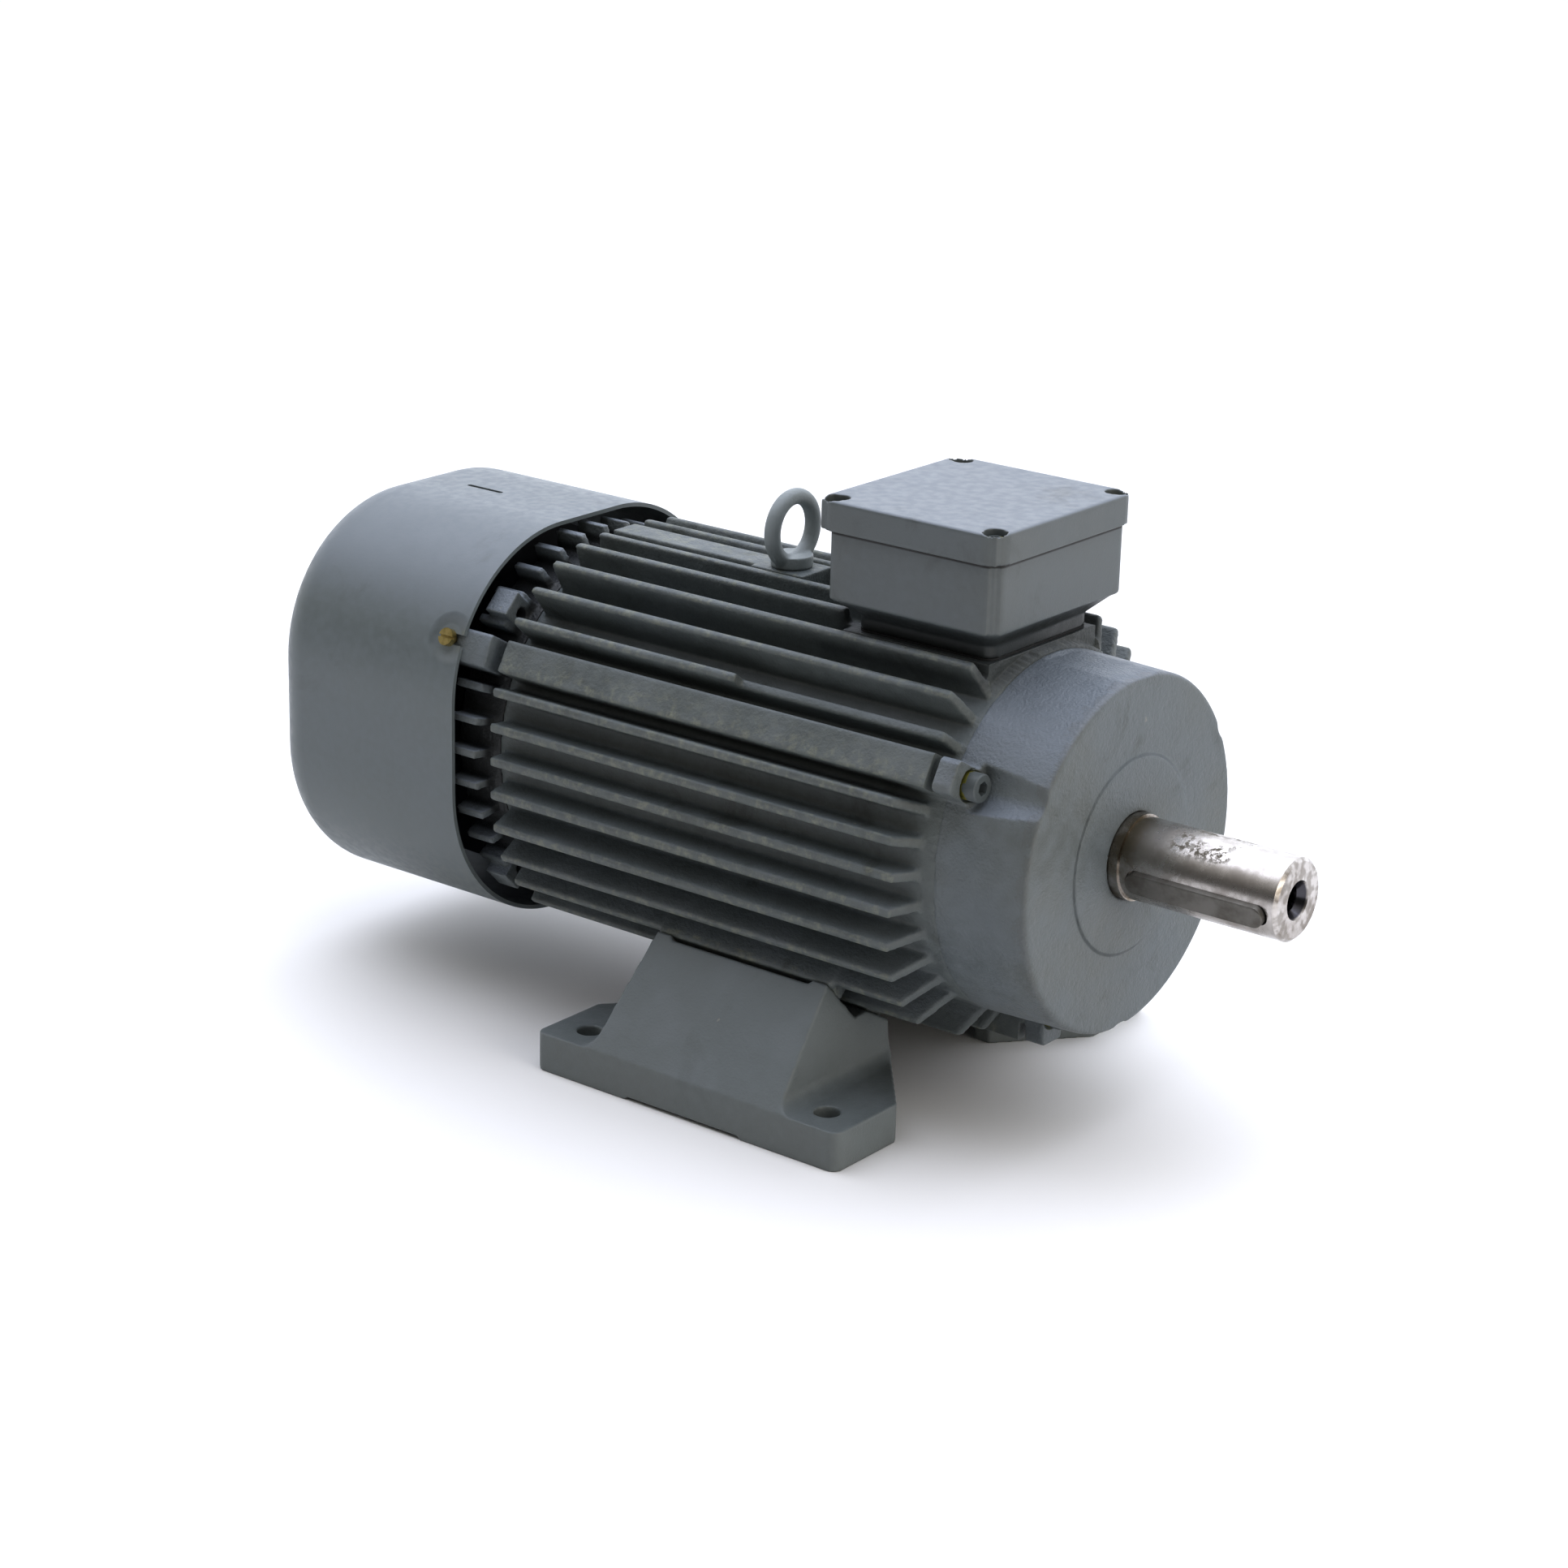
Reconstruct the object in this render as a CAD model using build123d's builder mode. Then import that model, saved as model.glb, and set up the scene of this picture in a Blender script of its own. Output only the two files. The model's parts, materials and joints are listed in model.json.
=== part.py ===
import os
from math import cos, radians, sin, sqrt, tan

from build123d import *

os.makedirs("parts", exist_ok=True)

# Foot-mounted frame: the sizes that a machine base and a coupling meet (all in mm)
shaft_height = 132.0
foot_hole_span_x = 140.0
foot_hole_span_y = 216.0
foot_hole_diameter = 12.0
hole_to_shoulder = 89.0
shaft_end_diameter = 38.0
shaft_end_length = 80.0
key_width = 10.0
key_height = 8.0
keyway_depth = 5.0

# Stations along the shaft, from the middle of the foot holes
shoulder_x = foot_hole_span_x / 2 + hole_to_shoulder
drive_face_x = shoulder_x - 5.3
drive_joint_x = 106.0
fan_joint_x = -148.0
fins_start_x = -144.0
core_length = 126.0
core_middle_x = -20.0

# Housing
barrel_radius = 84.5
barrel_wall = 6.5
fin_square_half = 96.5
fin_square_corner = 80.0
fin_pitch_angle = 10
fin_root_width = 5.6
fin_tip_width = 3.4
fin_tip_x = 89.0
fin_root_x = 101.0
top_fin_tip_x = 99.0
top_fin_root_x = 105.0
fin_tip_rounding = 1.2
low_fin_start_x = -11.0
low_fin_drop = 5.0
screw_rib_width = 16.0
screw_rib_radius = 101.0
screw_circle_radius = 86.5
screw_angles = (30, 150, 270)
top_rib_width = 17.0
top_rib_height = 96.0
eyebolt_x = -41.0
eyebolt_boss_length = 30.0
eyebolt_boss_width = 24.0

# Screws
shield_screw_size = 8.0
shield_screw_length = 30.0
foot_screw_size = 10.0
foot_screw_length = 30.0
foot_screw_x = 32.0
cover_screw_size = 5.0
cover_screw_length = 10.0
lid_screw_size = 5.0

# Shields
shield_wall = 10.0
spigot_length = 6.0
spigot_wall = 6.0
drive_face_radius = 83.0
face_edge_rounding = 1.5
face_ridge_radius = 46.0
face_ridge_height = 0.8
lug_length = 11.0
lug_rounding = 3.0
screw_seat_depth = 3.0
scallop_radius = 14.0
scallop_circle_radius = 92.0
scallop_lean = 5.0
hub_wall = 10.0
fan_shield_drum_length = 26.0
fan_shield_nose = 6.0
arm_start_x = -151.0
arm_end_x = -181.0
fan_screw_seat_x = -160.0
shield_rib_start_x = -152.0
shield_rib_end_x = -172.0
shield_rib_width = 4.0
shield_rib_radius = 94.5
shield_rib_slope = 4.0
jacking_boss_angles = (45, 135, 225, 315)
jacking_boss_start_x = -153.0
jacking_boss_end_x = -166.0
jacking_boss_width = 13.0
jacking_boss_radius = 100.0
jacking_hole_diameter = 6.8
jacking_hole_radius = 90.0

# Bearings, both ends
bearing_bore = 40.0
bearing_outer = 80.0
bearing_width = 18.0
ball_diameter = 11.9
ball_count = 9
ball_play = 0.3
race_step = 4.5
cage_wall = 2.2
cage_width = 13.0
cage_pocket_play = 0.15
drive_bearing_x = 122.0
fan_bearing_x = -169.0
wave_spring_space = 2.5
wave_spring_wall = 4.0
bearing_clip_thickness = 2.5
bearing_clip_groove = 1.75
bearing_clip_width = 5.0
clip_gap = 9.0
clip_eye_spread = 12.0
clip_eye_diameter = 8.0
clip_eye_hole = 2.5
wave_count = 4
wave_hollow_radius = 60.0
wave_offset = -0.45
shoulder_recess = 2.0
shoulder_height = 6.0

# Shaft seals
seal_outer_radius = 26.0
seal_cover_lip = 3.0
seal_lip_clearance = 0.8
seal_width = 7.0
seal_wall_thickness = 2.0
running_gap = 0.3
slinger_width = 5.0
slinger_radius = 24.0

# Rotor and stator
core_radius = 46.0
air_gap = 0.45
slot_count = 36
slot_depth = 15.0
slot_width = 4.4
slot_opening = 1.2
end_turn_length = 36.0
end_turn_height = 17.0
end_turn_rounding = 5.0
cage_bar_count = 28
cage_bar_width = 3.6
cage_bar_depth = 10.0
cage_bar_cover = 1.5
end_ring_length = 11.0
end_ring_depth = 13.0
cage_vane_count = 7
cage_vane_length = 14.0
cage_vane_width = 3.0
core_seat_radius = 25.0
core_collar_radius = 29.0
core_collar_length = 6.0
shaft_shoulder_radius = 24.0
shaft_end_chamfer = 1.5
centre_mouth_diameter = 18.1
centre_recess_diameter = 13.0
centre_recess_depth = 9.5
centre_thread_diameter = 10.2
centre_thread_depth = 28.0
key_length = 70.0
keyway_length = 72.0
key_end_gap = 5.0
key_angle = 192.0
key_chamfer = 0.4

# Fan and its cover
cover_half = 98.6
cover_corner = 77.5
cover_wall = 2.0
cover_front_x = -166.0
cover_rear_x = -288.0
cover_rear_rounding = 21.0
cover_slot_width = 5.4
cover_screw_x = -174.0
cover_screw_tilt = 25.0
grille_rings = 5
grille_first_radius = 20.0
grille_slot_width = 7.0
grille_pitch = 13.0
grille_bridges = 8
grille_bridge_width = 5.0
top_slot_length = 23.0
top_slot_width = 2.6
top_slot_x = -235.0
fan_radius = 86.0
fan_hub_radius = 30.0
fan_disc_thickness = 3.0
fan_blade_count = 9
fan_blade_thickness = 3.0
fan_front_x = -206.0
fan_rear_x = -262.0
fan_tip_length = 40.0
fan_shoulder_radius = 62.0
fan_seat_radius = 17.5
fan_hub_length = 38.0
tail_radius = 18.5
fan_clip_thickness = 1.75
fan_clip_groove = 1.25
fan_clip_width = 3.5
shaft_tail = 5.0
tail_gap = 0.7

# Feet
foot_plate_thickness = 19.0
foot_plate_half_length = 88.6
foot_outer_margin = 17.4
foot_inner_margin = 27.3
foot_ear_fillet = 8.0
foot_wall = 9.0
foot_corner_radius = 5.0
foot_block_bottom_half = 55.0
foot_block_top_half = 50.0
foot_relief_half = 33.5
foot_relief_depth = 1.5
crest_relief_half = 41.0
crest_relief_depth = 2.0
outer_seat_angle = 222.0
outer_seat_distance = 105.5
outer_seat_start = -8.0
outer_seat_end = 21.0
inner_seat_angle = 242.0
inner_seat_distance = 102.0
inner_seat_start = -10.0
inner_seat_end = 9.0
foot_flange = 17.0
foot_hollow_start = -12.0
foot_hollow_width = 8.0
foot_web_height = 12.0
housing_pad_half = 7.0

# Terminal box
box_middle_x = 63.0
box_length = 92.0
box_width = 102.0
box_wall = 4.0
box_corner = 6.0
box_base_z = 226.0
box_flare = 9.0
box_rim_z = 268.5
box_floor = 4.0
box_neck_length = 74.0
box_neck_width = 78.0
box_seat_z = 219.0
box_seat_length = 85.0
box_seat_width = 84.0
seat_gasket_thickness = 1.0
lid_overhang = 2.0
lid_top_z = 281.0
lid_skirt_z = 267.0
lid_skirt_play = 0.3
lid_wall = 3.5
lid_edge_rounding = 1.5
lid_hole_span_x = 84.0
lid_hole_span_y = 94.0
lid_recess_diameter = 9.6
lid_recess_depth = 8.0
lid_screw_length = 16.0
pillar_diameter = 11.0
lid_gasket_thickness = 1.5
box_screw_size = 5.0
box_screw_length = 20.0
box_screw_span_x = 52.0
box_screw_span_y = 64.0
lead_hole_diameter = 20.0
lead_hole_shift = 18.0
entry_diameter = 25.0
entry_spacing = 40.0
entry_z = 250.0
plug_flange_diameter = 31.0
plug_flange_thickness = 4.0
plug_length = 10.0
plug_slot_width = 3.0
plug_slot_depth = 1.5
plug_edge_chamfer = 1.0
terminal_block_shift = -10.0
terminal_block_length = 32.0
terminal_block_width = 52.0
terminal_block_height = 12.0
terminal_pitch = 16.0
terminal_barrier = 2.0
terminal_barrier_height = 5.0
terminal_stud_diameter = 5.0
stud_row_span = 18.0
terminal_stud_height = 13.0
link_width = 9.0
link_thickness = 1.5
nut_across_flats = 8.0
nut_thickness = 4.0
earth_screw_spot = (26.0, -18.0)
earth_screw_length = 8.0

# Lifting eye
eye_ring_outer = 38.4
eye_ring_inner = 23.0
eye_collar_diameter = 20.0
eye_collar_height = 6.0
eye_height = 37.2
eye_thread_diameter = 8.0
eye_thread_length = 10.0
eye_edge_chamfer = 0.6

shaft_axis = Axis((0, 0, shaft_height), (1, 0, 0))
lengthwise = Plane(origin=(0, 0, shaft_height), x_dir=(1, 0, 0), z_dir=(0, -1, 0))


def across(x):
    # Plane square to the shaft: local x is +Y, local y is +Z, centred on the shaft
    return Plane(origin=(x, 0, shaft_height), x_dir=(0, 1, 0), z_dir=(1, 0, 0))


def radial(x, angle):
    # Plane that faces outwards at this angle, its local x along the shaft
    outward = (0, cos(radians(angle)), sin(radians(angle)))
    return Plane(origin=(x, 0, shaft_height), x_dir=(1, 0, 0), z_dir=outward)


def spoke(angle, radius=0.0):
    # Place in an across() plane, its local x pointing outwards
    return Location((radius * cos(radians(angle)), radius * sin(radians(angle)), 0), (0, 0, angle))


def facing(x, radius, angle, direction):
    # Plane at a point beside the shaft, facing +X or -X
    y = radius * cos(radians(angle))
    z = shaft_height + radius * sin(radians(angle))
    return Plane(origin=(x, y, z), x_dir=(0, 1, 0), z_dir=(direction, 0, 0))


def bars(x, angles, inner, outer, width):
    # Sketch of one bar across the barrel wall at each angle
    with BuildSketch(across(x)) as sketch:
        for angle in angles:
            with Locations(spoke(angle, (inner + outer) / 2)):
                Rectangle(outer - inner, width)
    return sketch.sketch


def discs(x, angles, radius, diameter):
    with BuildSketch(across(x)) as sketch:
        with Locations(*[spoke(angle, radius) for angle in angles]):
            Circle(diameter / 2)
    return sketch.sketch


def turned(points):
    # Section of a turned piece: points of (x, radius)
    with BuildSketch(lengthwise) as sketch:
        with BuildLine():
            Polyline(*points, close=True)
        make_face()
    return sketch.sketch


def ring(x_start, x_end, inner, outer):
    return turned([(x_start, inner), (x_start, outer), (x_end, outer), (x_end, inner)])


def socket_screw(size, length):
    # Cap screw standing on z = 0 with its shank below
    with BuildPart() as screw:
        Cylinder(0.8125 * size, size, align=(Align.CENTER, Align.CENTER, Align.MIN))
        with BuildSketch(Plane.XY.offset(size)):
            RegularPolygon(0.375 * size, 6, major_radius=False)
        extrude(amount=-0.5 * size, mode=Mode.SUBTRACT)
        Cylinder(size / 2, length, align=(Align.CENTER, Align.CENTER, Align.MAX))
    return screw.part


def hexagon_screw(size, length):
    with BuildPart() as screw:
        with BuildSketch():
            RegularPolygon(0.85 * size, 6, major_radius=False)
        extrude(amount=0.64 * size)
        Cylinder(size / 2, length, align=(Align.CENTER, Align.CENTER, Align.MAX))
    return screw.part


def slotted_screw(size, length):
    with BuildPart() as screw:
        Cylinder(0.85 * size, 0.65 * size, align=(Align.CENTER, Align.CENTER, Align.MIN))
        with BuildSketch(Plane.XY.offset(0.65 * size)):
            Rectangle(2 * size, 0.24 * size)
        extrude(amount=-0.3 * size, mode=Mode.SUBTRACT)
        Cylinder(size / 2, length, align=(Align.CENTER, Align.CENTER, Align.MAX))
    return screw.part


def save(part, label):
    part.label = label
    export_step(part, f"parts/{label}.step")


# Housing: a cast barrel with radial fins whose tips lie on a rounded square
barrel_bore = barrel_radius - barrel_wall
foot_seats = ((outer_seat_angle, outer_seat_distance), (inner_seat_angle, inner_seat_distance))
far_foot_seats = tuple((540 - angle, distance) for angle, distance in foot_seats)
fin_skip = set(screw_angles) | {90, 240, 300}
fin_angles = [angle for angle in range(0, 360, fin_pitch_angle) if angle not in fin_skip]
fin_reach = fin_square_half + 20
low_fin_radius = screw_rib_radius - low_fin_drop
eyebolt_boss_end_x = eyebolt_x + eyebolt_boss_length / 2
drive_screw_depth = shield_screw_length - lug_length + screw_seat_depth
fan_screw_depth = shield_screw_length - (fan_joint_x - fan_screw_seat_x)
foot_screw_depth = foot_screw_length - foot_flange

with BuildSketch() as fin_section:
    with BuildLine():
        Polyline(
            (barrel_radius - 1, -fin_root_width / 2),
            (fin_reach, -fin_tip_width / 2),
            (fin_reach, fin_tip_width / 2),
            (barrel_radius - 1, fin_root_width / 2),
            close=True,
        )
    make_face()

with BuildPart() as stator_housing:
    with BuildSketch(across(fins_start_x)) as fin_sketch:
        for angle in fin_angles:
            add(fin_section.sketch, rotation=angle)
        RectangleRounded(2 * fin_square_half, 2 * fin_square_half, fin_square_corner, mode=Mode.INTERSECT)
        tips = [v for v in fin_sketch.vertices() if Vector(v.X, v.Y).length > barrel_radius]
        fillet(tips, fin_tip_rounding)
    extrude(amount=top_fin_root_x - fins_start_x)
    # The fins run out in a slope towards the drive-end shield, those at the top nearer to it
    top_arc = screw_angles[1] - screw_angles[0]
    for tip_x, root_x, start, arc in ((fin_tip_x, fin_root_x, screw_angles[1], 360 - top_arc),
                                      (top_fin_tip_x, top_fin_root_x, screw_angles[0], top_arc)):
        runout = turned([(root_x, barrel_radius - 2), (tip_x, screw_rib_radius), (tip_x - 3, fin_reach),
                         (top_fin_root_x + 5, fin_reach), (top_fin_root_x + 5, barrel_radius - 2)])
        revolve(runout.rotate(shaft_axis, start - 90), axis=shaft_axis, revolution_arc=arc, mode=Mode.SUBTRACT)
    # The fin above the near screw rib is lower over its drive-end half
    with BuildSketch(radial(low_fin_start_x, 180 - 4 * fin_pitch_angle).offset(low_fin_radius)):
        with Locations(((top_fin_root_x - low_fin_start_x) / 2, 0)):
            Rectangle(top_fin_root_x - low_fin_start_x, 2 * fin_root_width)
    extrude(amount=fin_reach - low_fin_radius, mode=Mode.SUBTRACT)
    # The terminal box seat is a flat-topped boss, and no fin stands above it
    with BuildSketch(Plane.XY.offset(box_seat_z)):
        with Locations((box_middle_x, 0)):
            Rectangle(box_seat_length + 2 * fin_tip_width, box_seat_width)
    extrude(amount=fin_reach, mode=Mode.SUBTRACT)
    with BuildSketch(Plane.XY.offset(shaft_height)):
        with Locations((box_middle_x, 0)):
            Rectangle(box_seat_length, box_seat_width)
    extrude(amount=box_seat_z - shaft_height)
    # Broad ribs that carry the shield screws, the top rib and the boss of the lifting eye
    extrude(bars(fins_start_x, screw_angles, 0, screw_rib_radius, screw_rib_width),
            amount=drive_joint_x - fins_start_x)
    extrude(bars(fins_start_x, [90], 0, top_rib_height, top_rib_width), amount=eyebolt_boss_end_x - fins_start_x)
    with BuildSketch(Plane.XY.offset(shaft_height)):
        with Locations((eyebolt_x, 0)):
            Rectangle(eyebolt_boss_length, eyebolt_boss_width)
    extrude(amount=top_rib_height)
    # Flat pads that the feet seat on
    for angle, distance in foot_seats + far_foot_seats:
        with BuildSketch(radial(0, angle)):
            Rectangle(2 * foot_block_top_half, 2 * housing_pad_half)
        extrude(amount=distance)
    # Barrel and its bore
    with BuildSketch(across(fan_joint_x)):
        Circle(barrel_radius)
    extrude(amount=drive_joint_x - fan_joint_x)
    with BuildSketch(across(fan_joint_x)):
        Circle(barrel_bore)
    extrude(amount=drive_joint_x - fan_joint_x, mode=Mode.SUBTRACT)
    # Threaded holes for the shield screws, the lifting eye and the foot screws
    extrude(discs(drive_joint_x, screw_angles, screw_circle_radius, shield_screw_size),
            amount=-drive_screw_depth, mode=Mode.SUBTRACT)
    extrude(discs(fan_joint_x, screw_angles, screw_circle_radius, shield_screw_size),
            amount=fan_screw_depth, mode=Mode.SUBTRACT)
    with BuildSketch(Plane.XY.offset(shaft_height + top_rib_height)):
        with Locations((eyebolt_x, 0)):
            Circle(eye_thread_diameter / 2)
    extrude(amount=-eye_thread_length, mode=Mode.SUBTRACT)
    for angle in (inner_seat_angle, 540 - inner_seat_angle):
        with BuildSketch(radial(0, angle).offset(inner_seat_distance)):
            with Locations((-foot_screw_x, 0), (foot_screw_x, 0)):
                Circle(foot_screw_size / 2)
        extrude(amount=-foot_screw_depth, mode=Mode.SUBTRACT)
    # Way for the leads and threaded holes under the terminal box
    with BuildSketch(Plane.XY.offset(box_seat_z)):
        with Locations((box_middle_x + lead_hole_shift, 0)):
            Circle(lead_hole_diameter / 2)
    extrude(amount=-(box_seat_z - shaft_height), mode=Mode.SUBTRACT)
    with BuildSketch(Plane.XY.offset(box_seat_z)):
        with Locations((box_middle_x, 0)):
            with GridLocations(box_screw_span_x, box_screw_span_y, 2, 2):
                Circle(box_screw_size / 2)
    extrude(amount=-(box_screw_length - (box_base_z + box_floor - box_seat_z)), mode=Mode.SUBTRACT)
save(stator_housing.part, "stator_housing")

# Feet: bolted castings whose two slanted seats meet the housing in a notch
foot_outer_y = foot_hole_span_y / 2 + foot_outer_margin
foot_inner_y = foot_hole_span_y / 2 - foot_inner_margin


def seat_point(angle, distance, along):
    # Point of a foot seat in Y and Z, measured along the seat from under the shaft axis
    y = distance * cos(radians(angle)) - along * sin(radians(angle))
    z = shaft_height + distance * sin(radians(angle)) + along * cos(radians(angle))
    return (y, z)


crest = seat_point(outer_seat_angle, outer_seat_distance, outer_seat_start)
flange_distance = inner_seat_distance + foot_flange
hollow_corner = seat_point(inner_seat_angle, flange_distance, foot_hollow_start)

seat_end = seat_point(inner_seat_angle, inner_seat_distance, inner_seat_end)
flange_end = (flange_distance * cos(radians(inner_seat_angle)) - seat_end[0]) / sin(radians(inner_seat_angle))
foot_length = 2 * foot_plate_half_length

with BuildPart() as foot_near:
    with BuildSketch(Plane.YZ.offset(-foot_plate_half_length)):
        with BuildLine():
            Polyline(
                (-foot_outer_y, 0),
                (-foot_outer_y, foot_plate_thickness),
                crest,
                seat_point(outer_seat_angle, outer_seat_distance, outer_seat_end),
                seat_point(inner_seat_angle, inner_seat_distance, inner_seat_start),
                seat_end,
                (seat_end[0], 0),
                close=True,
            )
        make_face()
    extrude(amount=foot_length)
    # Seen from the side: two ears, and between them a block whose ends lean inwards
    with BuildSketch(Plane.XZ) as elevation:
        with BuildLine():
            Polyline(
                (-foot_plate_half_length, 0),
                (-foot_plate_half_length, foot_plate_thickness),
                (-foot_block_bottom_half, foot_plate_thickness),
                (-foot_block_top_half, crest[1]),
                (foot_block_top_half, crest[1]),
                (foot_block_bottom_half, foot_plate_thickness),
                (foot_plate_half_length, foot_plate_thickness),
                (foot_plate_half_length, 0),
                close=True,
            )
        make_face()
        roots = elevation.vertices().filter_by(lambda v: abs(abs(v.X) - foot_block_bottom_half) < 0.1)
        fillet(roots, foot_ear_fillet)
    extrude(amount=foot_outer_y, mode=Mode.INTERSECT)
    # Seen from above: the ears narrow towards the inner seat
    with BuildSketch() as outline:
        with BuildLine():
            Polyline(
                (-foot_plate_half_length, -foot_outer_y),
                (-foot_plate_half_length, -foot_inner_y),
                (-foot_block_bottom_half, seat_end[0]),
                (foot_block_bottom_half, seat_end[0]),
                (foot_plate_half_length, -foot_inner_y),
                (foot_plate_half_length, -foot_outer_y),
                close=True,
            )
        make_face()
        fillet(outline.vertices().filter_by(lambda v: v.Y < seat_end[0] - 1), foot_corner_radius)
    extrude(amount=shaft_height, mode=Mode.INTERSECT)
    # Hollow under the seats, closed by a wall at each end
    with BuildSketch(Plane.YZ.offset(foot_wall - foot_block_bottom_half)):
        with BuildLine():
            Polyline(
                (seat_end[0], -1),
                (-foot_inner_y, -1),
                (-foot_inner_y, foot_web_height),
                (hollow_corner[0] - foot_hollow_width, hollow_corner[1]),
                hollow_corner,
                seat_point(inner_seat_angle, flange_distance, flange_end),
                close=True,
            )
        make_face()
    extrude(amount=2 * (foot_block_bottom_half - foot_wall), mode=Mode.SUBTRACT)
    with BuildSketch():
        with Locations((-foot_hole_span_x / 2, -foot_hole_span_y / 2), (foot_hole_span_x / 2, -foot_hole_span_y / 2)):
            Circle(foot_hole_diameter / 2)
    extrude(amount=foot_plate_thickness, mode=Mode.SUBTRACT)
    # Reliefs that leave a seating pad at each end
    with BuildSketch():
        with Locations((0, -foot_outer_y)):
            Rectangle(2 * foot_relief_half, 2 * foot_outer_y)
    extrude(amount=foot_relief_depth, mode=Mode.SUBTRACT)
    with BuildSketch(radial(0, outer_seat_angle).offset(outer_seat_distance)):
        Rectangle(2 * crest_relief_half, 4 * outer_seat_end)
    extrude(amount=crest_relief_depth, mode=Mode.SUBTRACT)
    with BuildSketch(radial(0, inner_seat_angle).offset(inner_seat_distance)):
        with Locations((-foot_screw_x, 0), (foot_screw_x, 0)):
            Circle(foot_screw_size / 2 + 0.5)
    extrude(amount=foot_flange, mode=Mode.SUBTRACT)
save(foot_near.part, "foot_near")

with BuildPart() as foot_far:
    add(foot_near.part)
    mirror(about=Plane.XZ, mode=Mode.REPLACE)
save(foot_far.part, "foot_far")

with BuildPart() as foot_screws:
    for angle in (inner_seat_angle, 540 - inner_seat_angle):
        for x in (-foot_screw_x, foot_screw_x):
            with Locations(radial(x, angle).offset(flange_distance)):
                add(hexagon_screw(foot_screw_size, foot_screw_length))
save(foot_screws.part, "foot_screws")

# Drive-end shield: a turned drum with three screw lugs and a scallop in front of each
face_land_x = drive_face_x + face_ridge_height
seal_front_x = face_land_x - seal_cover_lip
seal_seat_x = seal_front_x - seal_width
lip_bore = bearing_bore / 2 + seal_lip_clearance
drive_seat_x = drive_bearing_x + bearing_width
drive_hub_x = drive_bearing_x - 2 * bearing_clip_thickness
spigot_bore = barrel_bore - spigot_wall
bearing_radius = bearing_outer / 2
journal_radius = bearing_bore / 2
hub_radius = bearing_radius + hub_wall
drive_web_x = drive_face_x - shield_wall
clip_groove_radius = bearing_radius + bearing_clip_groove
shoulder_radius = bearing_radius - shoulder_height
lug_front_x = drive_joint_x + lug_length

with BuildPart() as drive_end_shield:
    section = turned([
        (drive_joint_x - spigot_length, spigot_bore),
        (drive_joint_x - spigot_length, barrel_bore),
        (drive_joint_x, barrel_bore),
        (drive_joint_x, barrel_radius),
        (drive_face_x - face_edge_rounding, drive_face_radius),
        (drive_face_x, drive_face_radius - face_edge_rounding),
        (drive_face_x, face_ridge_radius),
        (face_land_x, face_ridge_radius - face_ridge_height),
        (face_land_x, lip_bore),
        (seal_front_x, lip_bore),
        (seal_front_x, seal_outer_radius),
        (drive_seat_x + shoulder_recess, seal_outer_radius),
        (drive_seat_x + shoulder_recess, shoulder_radius),
        (drive_seat_x, shoulder_radius),
        (drive_seat_x, bearing_radius),
        (drive_bearing_x, bearing_radius),
        (drive_bearing_x, clip_groove_radius),
        (drive_bearing_x - bearing_clip_thickness, clip_groove_radius),
        (drive_bearing_x - bearing_clip_thickness, bearing_radius),
        (drive_hub_x, bearing_radius),
        (drive_hub_x, hub_radius),
        (drive_web_x, hub_radius + 2),
        (drive_web_x, spigot_bore),
    ])
    revolve(section, axis=shaft_axis)
    # Scallops in front of the screws, which run out towards the face
    for angle in screw_angles:
        outward = Vector(0, cos(radians(angle)), sin(radians(angle)))
        leaning = Vector(1, 0, 0) * cos(radians(scallop_lean)) + outward * sin(radians(scallop_lean))
        start = facing(lug_front_x, scallop_circle_radius, angle, 1).origin
        with BuildSketch(Plane(origin=start, z_dir=leaning)):
            Circle(scallop_radius)
        extrude(amount=shaft_end_length, mode=Mode.SUBTRACT)
    extrude(bars(drive_joint_x, screw_angles, barrel_bore, screw_rib_radius, screw_rib_width), amount=lug_length)
    corners = drive_end_shield.edges().filter_by(Axis.X).filter_by(
        lambda e: sqrt(e.center().Y ** 2 + (e.center().Z - shaft_height) ** 2) > screw_rib_radius)
    fillet(corners, lug_rounding)
    extrude(discs(drive_joint_x, screw_angles, screw_circle_radius, shield_screw_size + 1),
            amount=lug_length, mode=Mode.SUBTRACT)
    extrude(discs(lug_front_x - screw_seat_depth, screw_angles, screw_circle_radius, 2 * shield_screw_size - 1),
            amount=lug_length, mode=Mode.SUBTRACT)
save(drive_end_shield.part, "drive_end_shield")

with BuildPart() as drive_end_screws:
    for angle in screw_angles:
        with Locations(facing(lug_front_x - screw_seat_depth, screw_circle_radius, angle, 1)):
            add(socket_screw(shield_screw_size, shield_screw_length))
save(drive_end_screws.part, "drive_end_screws")

# Fan-end shield: a drum with short ribs and three arms that carry the fan cover
fan_shield_rear_x = fan_joint_x - fan_shield_drum_length
fan_nose_x = fan_shield_rear_x - fan_shield_nose
fan_seat_x = fan_bearing_x - wave_spring_space
fan_hub_x = fan_bearing_x + bearing_width + bearing_clip_thickness
tail_clearance_radius = tail_radius + tail_gap
cover_inner_half = cover_half - cover_wall
cover_inner_corner = cover_corner - cover_wall
rib_angles = [angle for angle in range(0, 360, fin_pitch_angle)
              if min(abs(angle - arm) for arm in screw_angles) > fin_pitch_angle / 2]
corner_offset = cover_half - cover_corner
arm_reach = cover_half + cover_wall + lug_length


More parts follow.
